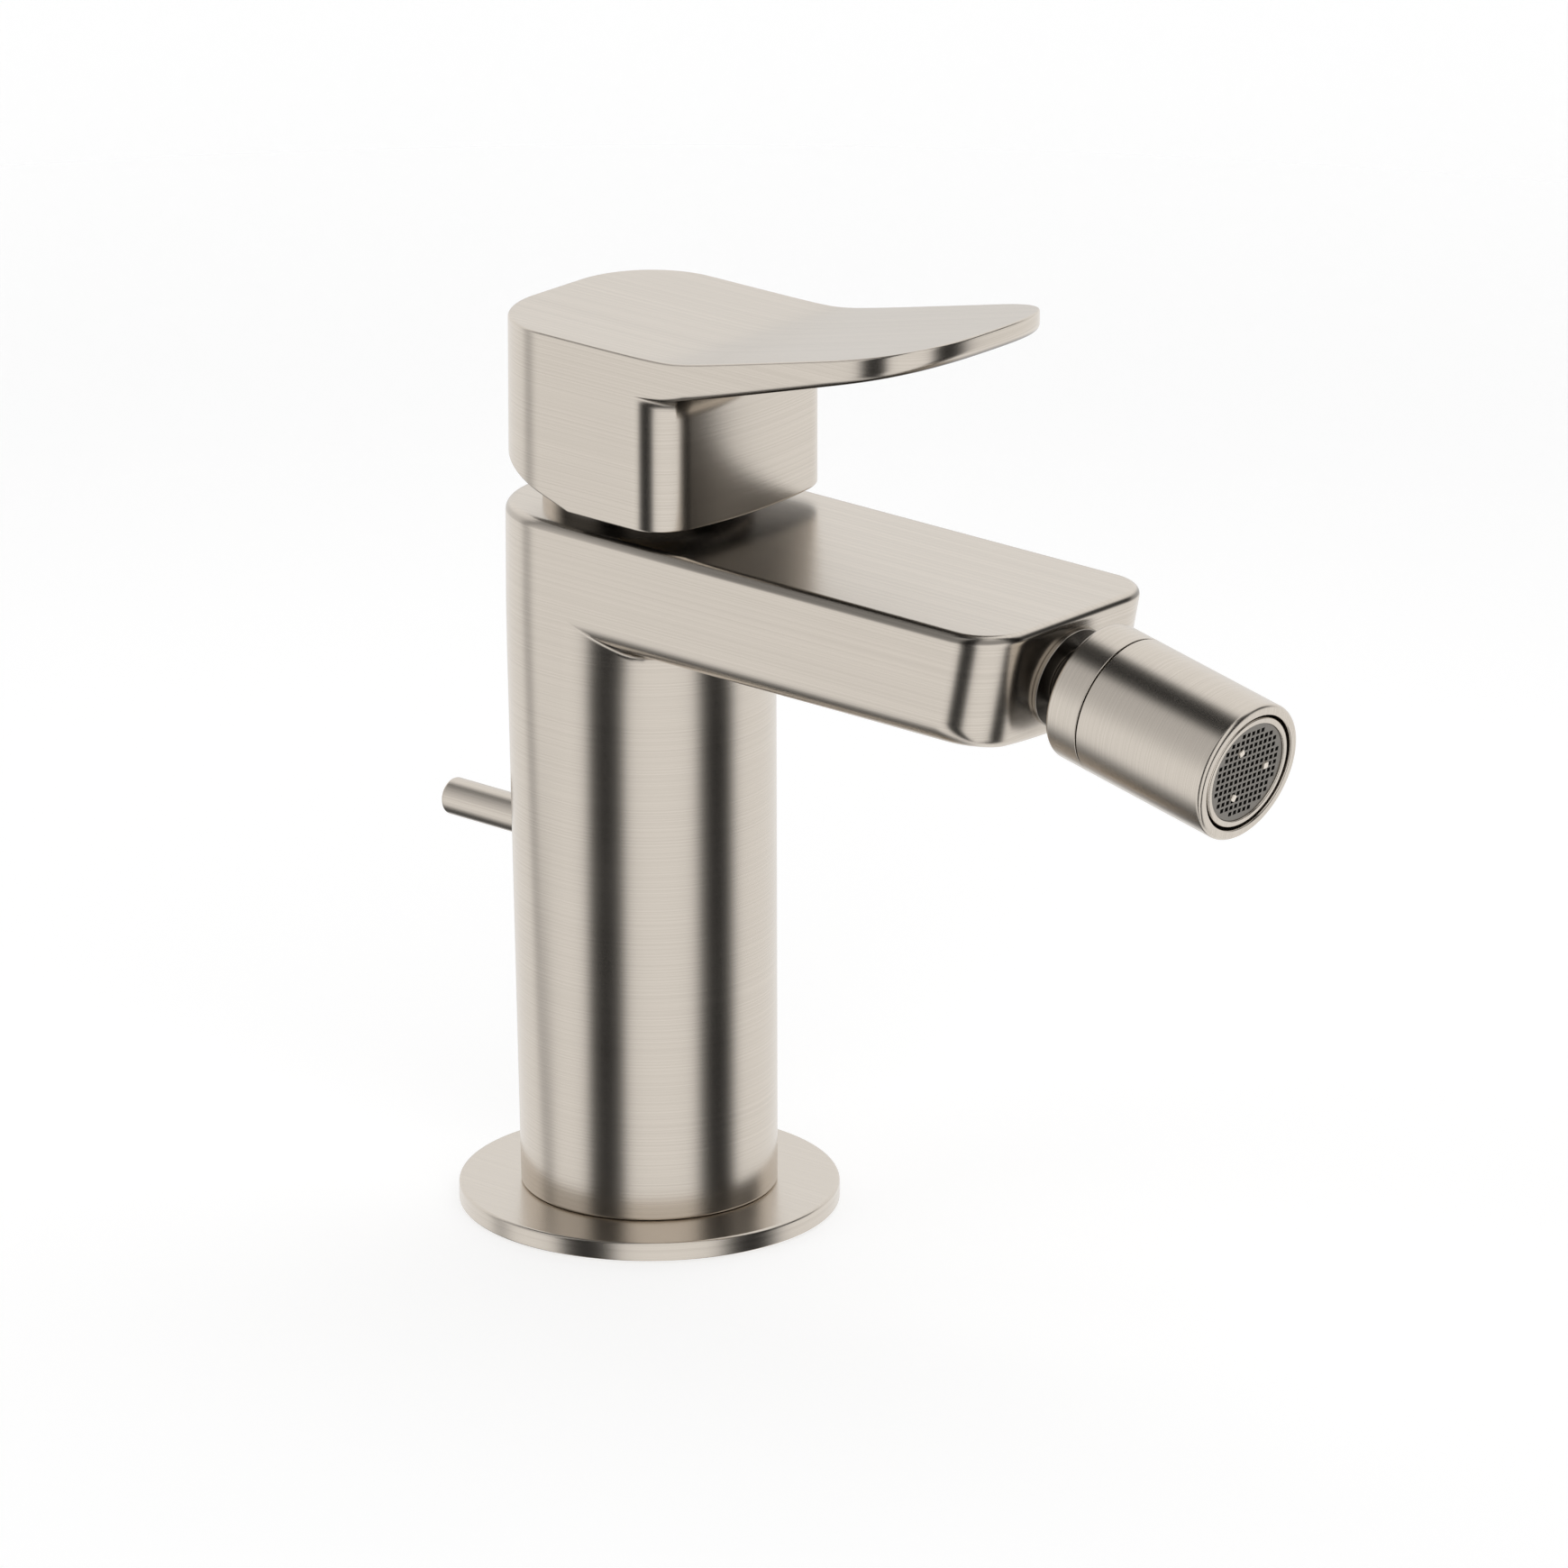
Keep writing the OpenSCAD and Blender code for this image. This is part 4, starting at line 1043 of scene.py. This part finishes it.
def painted_edge_reflection(tree, vector, normal):
    """Painted reflection: a soft dark line on the spout's rounded upper edge, where it turns upwards, fainter round
    the column.
    """
    rise = part_of(tree, normal, "Z")
    line = math_node(tree, "SUBTRACT", ramp(tree, rise, *EDGE_START), ramp(tree, rise, *EDGE_END))
    strength = ramp(tree, part_of(tree, vector, "X"), *EDGE_ALONG)
    return math_node(tree, "SUBTRACT", 1.0, math_node(tree, "MULTIPLY", line, strength))


def painted_neck_shadow(tree, vector, normal):
    """Painted shadow on the front half of the neck ring, which lies in the hub's shade."""
    return ramp(tree, part_of(tree, normal, "X"), *NECK_SHADE)


def painted_ball_shade(tree, vector, normal):
    """Painted shade in the gap behind the nozzle: a dimmed collar, and a near-black neck and ball beyond it along the
    nozzle's axis.
    """
    return ramp(tree, part_of(tree, vector, "Z"), *BALL_SHADE)


def painted_hole_shade(tree, vector, normal):
    """Painted shade on the walls of the holes in the mouth's grid, darker than its bars."""
    return ramp(tree, part_of(tree, normal, "Z"), *GRID_SHADE)


def spot_on(tree, place):
    """Position and normal on the object, in the place's own axes where one is given."""
    where = add(tree, "ShaderNodeTexCoord")
    vector, normal = where.outputs["Object"], where.outputs["Normal"]
    if place is not None:
        turn = place.inverted()
        spot = {"Location": turn.translation, "Rotation": turn.to_euler()}
        vector = add(tree, "ShaderNodeMapping", {"vector_type": "POINT"}, {"Vector": vector, **spot}).outputs[0]
        normal = add(tree, "ShaderNodeMapping", {"vector_type": "VECTOR"}, {
            "Vector": normal, "Rotation": turn.to_euler()}).outputs[0]
    return vector, normal


def dress(tree, shader, tint, rough, depth, relief):
    """Feeds the main shader its colour, its roughness and a relief of some depth."""
    bump = add(tree, "ShaderNodeBump", inputs={"Strength": 1.0, "Distance": depth, "Height": relief})
    for key, value in (("Base Color", tint), ("Roughness", rough), ("Normal", bump.outputs[0])):
        tree.links.new(value, shader.inputs[key])


def metal(name, group, light, deep, gloss, along, across, depth, place=None, shade=None):
    """Brushed or turned metal: the lines tint it, vary its gloss and lift its surface by a few microns.

    A shade gives the share of the tint that is left at each spot.
    """
    made, tree, shader = new_material(name)
    vector, normal = spot_on(tree, place)
    brush = add(tree, "ShaderNodeGroup", {"node_tree": group}, {
        "Vector": vector, "Normal": normal, "Along": along, "Across": across})
    lines, smear = brush.outputs["Lines"], brush.outputs["Smear"]
    tint = blend_colour(tree, ramp(tree, lines, *TINT_RANGE), deep, light)
    if shade is not None:
        tint = blend_colour(tree, shade(tree, vector, normal), BLACK, tint)
    wide = math_node(tree, "MULTIPLY_ADD", smear, GLOSS_SPREAD, gloss - GLOSS_SPREAD / 2)
    base = math_node(tree, "SUBTRACT", wide, GLOSS_SPREAD / 2)
    rough = math_node(tree, "MULTIPLY_ADD", lines, GLOSS_SPREAD, base)
    dress(tree, shader, tint, rough, depth, lines)
    shader.inputs["Metallic"].default_value = 1.0
    return made


def moulded(name, group, colour, gloss, size, depth, place=None, shade=None):
    """Rubber, resin or ceramic with a fine grain. A shade gives the share of the tint that is left at each spot."""
    made, tree, shader = new_material(name)
    vector, normal = spot_on(tree, place)
    speckle = add(tree, "ShaderNodeGroup", {"node_tree": group}, {"Vector": vector, "Size": size})
    grain, drift = speckle.outputs["Grain"], speckle.outputs["Drift"]
    tone = math_node(tree, "ADD", math_node(tree, "MULTIPLY", grain, GRAIN_SHARE),
                     math_node(tree, "MULTIPLY", drift, 1 - GRAIN_SHARE))
    tint = blend_colour(
        tree, ramp(tree, tone, *TINT_RANGE), opaque(colour, GRAIN_DARK), opaque(colour, GRAIN_LIGHT))
    if shade is not None:
        tint = blend_colour(tree, shade(tree, vector, normal), BLACK, tint)
    rough = math_node(tree, "MULTIPLY_ADD", grain, GRAIN_SPREAD, gloss - GRAIN_SPREAD / 2)
    dress(tree, shader, tint, rough, depth, grain)
    return made


def finishes(settings):
    """All finishes by name, built once."""
    if SKINS:
        return SKINS
    f = settings.finish
    brush, mould = brush_group(), mould_group()
    tip = nozzle_place(settings.nozzle)
    light, deep = opaque(f.nickel), opaque(f.nickel_deep)
    nickel = (
        ("satin_nickel", WALL_BRUSH, None, None),
        ("satin_nickel_body", WALL_BRUSH, None, painted_edge_reflection),
        ("satin_nickel_handle", WALL_BRUSH, None, painted_underside_shade),
        ("satin_nickel_neck", WALL_BRUSH, None, painted_neck_shadow),
        ("satin_nickel_cap", NOZZLE_BRUSH, tip, painted_underside_shade),
        ("satin_nickel_nozzle", NOZZLE_BRUSH, tip, None),
        ("satin_nickel_stem", NOZZLE_BRUSH, tip, painted_ball_shade),
    )
    made = [metal(name, brush, light, deep, *lines, place, shade) for name, lines, place, shade in nickel]
    # Painted highlight: the pads in the mouth take a tint lighter than the nickel.
    made.append(metal("satin_nickel_glint", brush, opaque(f.nickel, PAD_GLINT), light, *PAD_BRUSH, tip))
    for name, colour in (("brass", f.brass), ("steel", f.steel)):
        made.append(metal(name, brush, opaque(colour), opaque(colour, TURNED_DARK), *TURNED_BRUSH))
    made += [
        moulded("black_rubber", mould, f.rubber, *RUBBER_GRAIN),
        moulded("dark_resin", mould, f.dark_resin, *RESIN_GRAIN),
        moulded("pale_resin", mould, f.pale_resin, *RESIN_GRAIN),
        moulded("grey_resin", mould, f.grey_resin, *GRID_GRAIN, tip, painted_hole_shade),
        moulded("red_resin", mould, f.red_resin, *RESIN_GRAIN),
        moulded("ceramic_white", mould, f.ceramic, *CERAMIC_GRAIN),
    ]
    SKINS.update((material["finish"], material) for material in made)
    return SKINS


# Operators


class MIXER_OT_body(bpy.types.Operator):
    """Builds the column and spout"""

    bl_idname = "mixer.body"
    bl_label = "Column and spout"

    def execute(self, context):
        settings = context.scene.mixer
        shell = stack_mesh("body_shell", body_rings(settings.body))
        cut(shell, body_cutters(settings))
        finish_piece(shell, "mixer_body", finishes(settings)["satin_nickel_body"], ["body"])
        return {"FINISHED"}


class MIXER_OT_rings(bpy.types.Operator):
    """Builds the base flange and the neck ring"""

    bl_idname = "mixer.rings"
    bl_label = "Base flange and neck ring"

    def execute(self, context):
        settings = context.scene.mixer
        skin = finishes(settings)
        flange = turned("flange_shell", flange_profile(settings.body), points=FLANGE_POINTS)
        finish_piece(flange, "mixer_body", skin["satin_nickel"], ["base_flange"])
        ring = turned("neck_ring_shell", neck_profile(settings.body), points=WIDE_POINTS)
        finish_piece(ring, "mixer_body", skin["satin_nickel_neck"], ["neck_ring"])
        return {"FINISHED"}


class MIXER_OT_handle(bpy.types.Operator):
    """Builds the hub with its lever blade, and the cap over the grub screw"""

    bl_idname = "mixer.handle"
    bl_label = "Handle"

    def execute(self, context):
        settings = context.scene.mixer
        skin = finishes(settings)
        shell = stack_mesh("handle_shell", handle_rings(settings.handle))
        cut(shell, handle_cutters(settings))
        finish_piece(shell, "lever", skin["satin_nickel_handle"], ["handle"])
        r, seat = settings.knob.cap_r, along_back(-settings.handle.rear, settings.knob.cap_z)
        profile = rounded([
            (0, -SCREW_CAP_DEPTH, 0), (r, -SCREW_CAP_DEPTH, 0), (r, -PLAY, SCREW_CAP_EDGE), (0, -PLAY, 0)])
        cap = turned("screw_cap_shell", profile, seat, SMALL_POINTS, closed=False)
        finish_piece(cap, "lever", skin["satin_nickel"], ["screw_cap"])
        return {"FINISHED"}


class MIXER_OT_nozzle(bpy.types.Operator):
    """Builds the ball stem, the ball cap, the nozzle's sleeve and the ring and pads in its mouth"""

    bl_idname = "mixer.nozzle"
    bl_label = "Nozzle"

    def execute(self, context):
        settings = context.scene.mixer
        nozzle, skin = settings.nozzle, finishes(settings)
        place = nozzle_place(nozzle)
        stem = turned("ball_stem_shell", stem_profile(nozzle), place)
        finish_piece(stem, "mixer_body", skin["satin_nickel_stem"], ["ball_stem"])
        cap = turned("ball_cap_shell", cap_profile(nozzle), place, WIDE_POINTS)
        finish_piece(cap, "nozzle", skin["satin_nickel_cap"], ["ball_cap"])
        sleeve = turned("nozzle_shell", sleeve_profile(nozzle), place, WIDE_POINTS)
        finish_piece(sleeve, "nozzle", skin["satin_nickel_nozzle"], ["nozzle_housing"])
        cage = turned("aerator_ring", cage_profile(), place)
        finish_piece(cage, "nozzle", skin["satin_nickel_nozzle"], ["aerator_cage"])
        for number, turn in enumerate(TAB_TURNS):
            spot = place @ Matrix.Rotation(math.radians(turn), 4, "Z") @ Matrix.Translation((TAB_R, 0, TAB_Z))
            made = tab("aerator_tab_%d" % number, spot)
            # Painted highlight: the pads' finish is lighter than the nickel.
            finish_piece(made, "nozzle", skin["satin_nickel_glint"])
        return {"FINISHED"}


class MIXER_OT_knob(bpy.types.Operator):
    """Builds the waste knob"""

    bl_idname = "mixer.knob"
    bl_label = "Waste knob"

    def execute(self, context):
        settings = context.scene.mixer
        knob = settings.knob
        r, length = knob.radius, knob.inner - knob.outer
        profile = rounded([(0, 0, 0), (r, 0, KNOB_INNER_EDGE), (r, length, knob.edge), (0, length, 0)])
        place = along_back(knob.inner, knob.height)
        made = turned("waste_knob_shell", profile, place, SMALL_POINTS, closed=False)
        finish_piece(made, "waste_lift", finishes(settings)["satin_nickel"], ["waste_knob"])
        return {"FINISHED"}


class MIXER_OT_inner(bpy.types.Operator):
    """Gives the pieces that keep their solids the finish of their slot"""

    bl_idname = "mixer.inner"
    bl_label = "Inner pieces"

    def execute(self, context):
        skin = finishes(context.scene.mixer)
        for row in frame["record"]["subparts"]:
            node = frame["nodes"][row["node"]]
            if not node.hide_render:
                node.data.materials.clear()
                node.data.materials.append(skin[row["material_slot"]])
        return {"FINISHED"}


# Studio


def compass(angle, rise=0.0):
    """Direction at an angle from the camera, counter-clockwise from above, and at some rise above the level."""
    a, e = math.radians(angle - 90 + CAMERA_TURN), math.radians(rise)
    return (math.cos(a) * math.cos(e), math.sin(a) * math.cos(e), math.sin(e))


# Dark places of the tent. A level one is an upright strip, any other a round patch. Each has its direction, the angles
# from it in degrees within which it is darkest and past which it ends, and how dark it is.
STRIPS = (
    ("level", compass(-38.2), 11.5, 22, 1.0),
    ("level", compass(64.5), 9, 25, 1.0),
    ("level", compass(-101.5), 3, 10, 0.5),
    ("any", (-0.703, 0.711, 0.015), 4, 18, 0.17),
    ("any", compass(99, 19), 3, 26, 0.92),
    ("any", (-0.40, -0.13, 0.905), 11, 25, 1.0),
    ("any", (-0.382, -0.595, 0.707), 5, 50, 0.33),
    ("any", (-0.624, 0.02, -0.781), 6, 30, 0.92),
)

FLOOR_LOW, FLOOR_TOP = -0.002, -0.0005
FLOOR_GLOW = 0.69  # what the camera sees on top of the lit floor
FLOOR_FADE = (0.25, 0.95)  # shares of the floor's radius between which it fades out


def studio_light(scene):
    """White tent with dark strips and patches, so that the metal shows its shape.

    The light is the product over all of them of 1 - dark * step, with a smooth step over the angle between a
    direction and theirs. For a strip both directions are made level first. What the camera sees directly is white.
    """
    world = bpy.data.worlds.new("studio")
    world.use_nodes = True
    tree = world.node_tree
    tree.nodes.clear()
    where = add(tree, "ShaderNodeTexCoord").outputs["Generated"]
    level = add(tree, "ShaderNodeVectorMath", {"operation": "MULTIPLY"}, {0: where, 1: (1, 1, 0)})
    level = add(tree, "ShaderNodeVectorMath", {"operation": "NORMALIZE"}, {0: level.outputs[0]}).outputs[0]
    light = None
    for kind, axis, inner, outer, dark in STRIPS:
        facing = add(tree, "ShaderNodeVectorMath", {"operation": "DOT_PRODUCT"}, {
            0: level if kind == "level" else where, 1: axis}).outputs["Value"]
        left = ramp(tree, facing, math.cos(math.radians(outer)), math.cos(math.radians(inner)), 1.0, 1.0 - dark)
        light = left if light is None else math_node(tree, "MULTIPLY", light, left)
    path = add(tree, "ShaderNodeLightPath").outputs["Is Camera Ray"]
    seen = math_node(tree, "MAXIMUM", light, path)
    glow = add(tree, "ShaderNodeBackground", inputs={"Strength": 1.0, "Color": seen})
    add(tree, "ShaderNodeOutputWorld", inputs={"Surface": glow.outputs[0]})
    scene.world = world


def floor_material(settings):
    """Pale floor that keeps the shadow: a lit grey, a glow that lifts it to white, and a fade towards its rim."""
    made = bpy.data.materials.new("floor")
    made.use_nodes = True
    tree = made.node_tree
    tree.nodes.clear()
    base = add(tree, "ShaderNodeBsdfDiffuse", inputs={"Color": opaque(settings.floor)})
    path = add(tree, "ShaderNodeLightPath")
    lift = math_node(tree, "MULTIPLY", path.outputs["Is Camera Ray"], FLOOR_GLOW)
    glow = add(tree, "ShaderNodeEmission", inputs={"Strength": lift})
    both = add(tree, "ShaderNodeAddShader", inputs={0: base.outputs[0], 1: glow.outputs[0]})
    where = add(tree, "ShaderNodeTexCoord").outputs["Object"]
    away = add(tree, "ShaderNodeVectorMath", {"operation": "LENGTH"}, {0: where}).outputs["Value"]
    fade = ramp(tree, away, *(share * settings.floor_r for share in FLOOR_FADE))
    clear = add(tree, "ShaderNodeBsdfTransparent")
    mix = add(tree, "ShaderNodeMixShader", inputs={0: fade, 1: both.outputs[0], 2: clear.outputs[0]})
    add(tree, "ShaderNodeOutputMaterial", inputs={"Surface": mix.outputs[0]})
    return made


class MIXER_OT_stage(bpy.types.Operator):
    """Sets up the floor, the light and the camera"""

    bl_idname = "mixer.stage"
    bl_label = "Studio"

    def execute(self, context):
        scene = context.scene
        s = scene.mixer.studio
        disc = plug("floor", s.floor_r, FLOOR_LOW, FLOOR_TOP)
        disc.data.materials.append(floor_material(s))
        disc.visible_glossy = False
        studio_light(scene)
        ct, st = math.cos(s.turn), math.sin(s.turn)
        ch, sh = math.cos(s.height), math.sin(s.height)
        right = np.array([ct, st, 0])
        up = np.array([-st * sh, ct * sh, ch])
        back = np.array([st * ch, -ct * ch, sh])
        eye = right * s.across + up * s.above + back * s.distance
        lens = bpy.data.cameras.new("camera")
        lens.sensor_width = SENSOR
        lens.lens = s.focal * SENSOR
        camera = bpy.data.objects.new("camera", lens)
        axes = np.column_stack([right, up, back])
        camera.matrix_world = Matrix.Translation(eye) @ Matrix(axes.tolist()).to_4x4()
        scene.collection.objects.link(camera)
        scene.camera = camera
        scene.view_settings.view_transform = "Standard"
        return {"FINISHED"}


class MIXER_PT_panel(bpy.types.Panel):
    """Lists the mixer's steps"""

    bl_idname = "MIXER_PT_panel"
    bl_label = "Bidet mixer"
    bl_space_type = "VIEW_3D"
    bl_region_type = "UI"
    bl_category = "Mixer"

    def draw(self, context):
        for step in OPERATORS:
            self.layout.operator(step.bl_idname)


GROUPS = (BodySizes, HandleSizes, NozzleSizes, KnobSizes, Finishes, StudioSettings, MixerSettings)
OPERATORS = (
    MIXER_OT_body, MIXER_OT_rings, MIXER_OT_handle, MIXER_OT_nozzle, MIXER_OT_knob, MIXER_OT_inner, MIXER_OT_stage)


def register():
    """Registers the settings, the operators and the panel."""
    for made in GROUPS + OPERATORS + (MIXER_PT_panel,):
        bpy.utils.register_class(made)
    bpy.types.Scene.mixer = PointerProperty(name="Mixer", description="Settings of the mixer", type=MixerSettings)


def unregister():
    """Takes away what register made."""
    del bpy.types.Scene.mixer
    for made in reversed(GROUPS + OPERATORS + (MIXER_PT_panel,)):
        bpy.utils.unregister_class(made)


def main():
    """Builds the pieces and the studio in order."""
    register()
    bpy.ops.mixer.body()
    bpy.ops.mixer.rings()
    bpy.ops.mixer.handle()
    bpy.ops.mixer.nozzle()
    bpy.ops.mixer.knob()
    bpy.ops.mixer.inner()
    bpy.ops.mixer.stage()


if __name__ == "__main__":
    main()
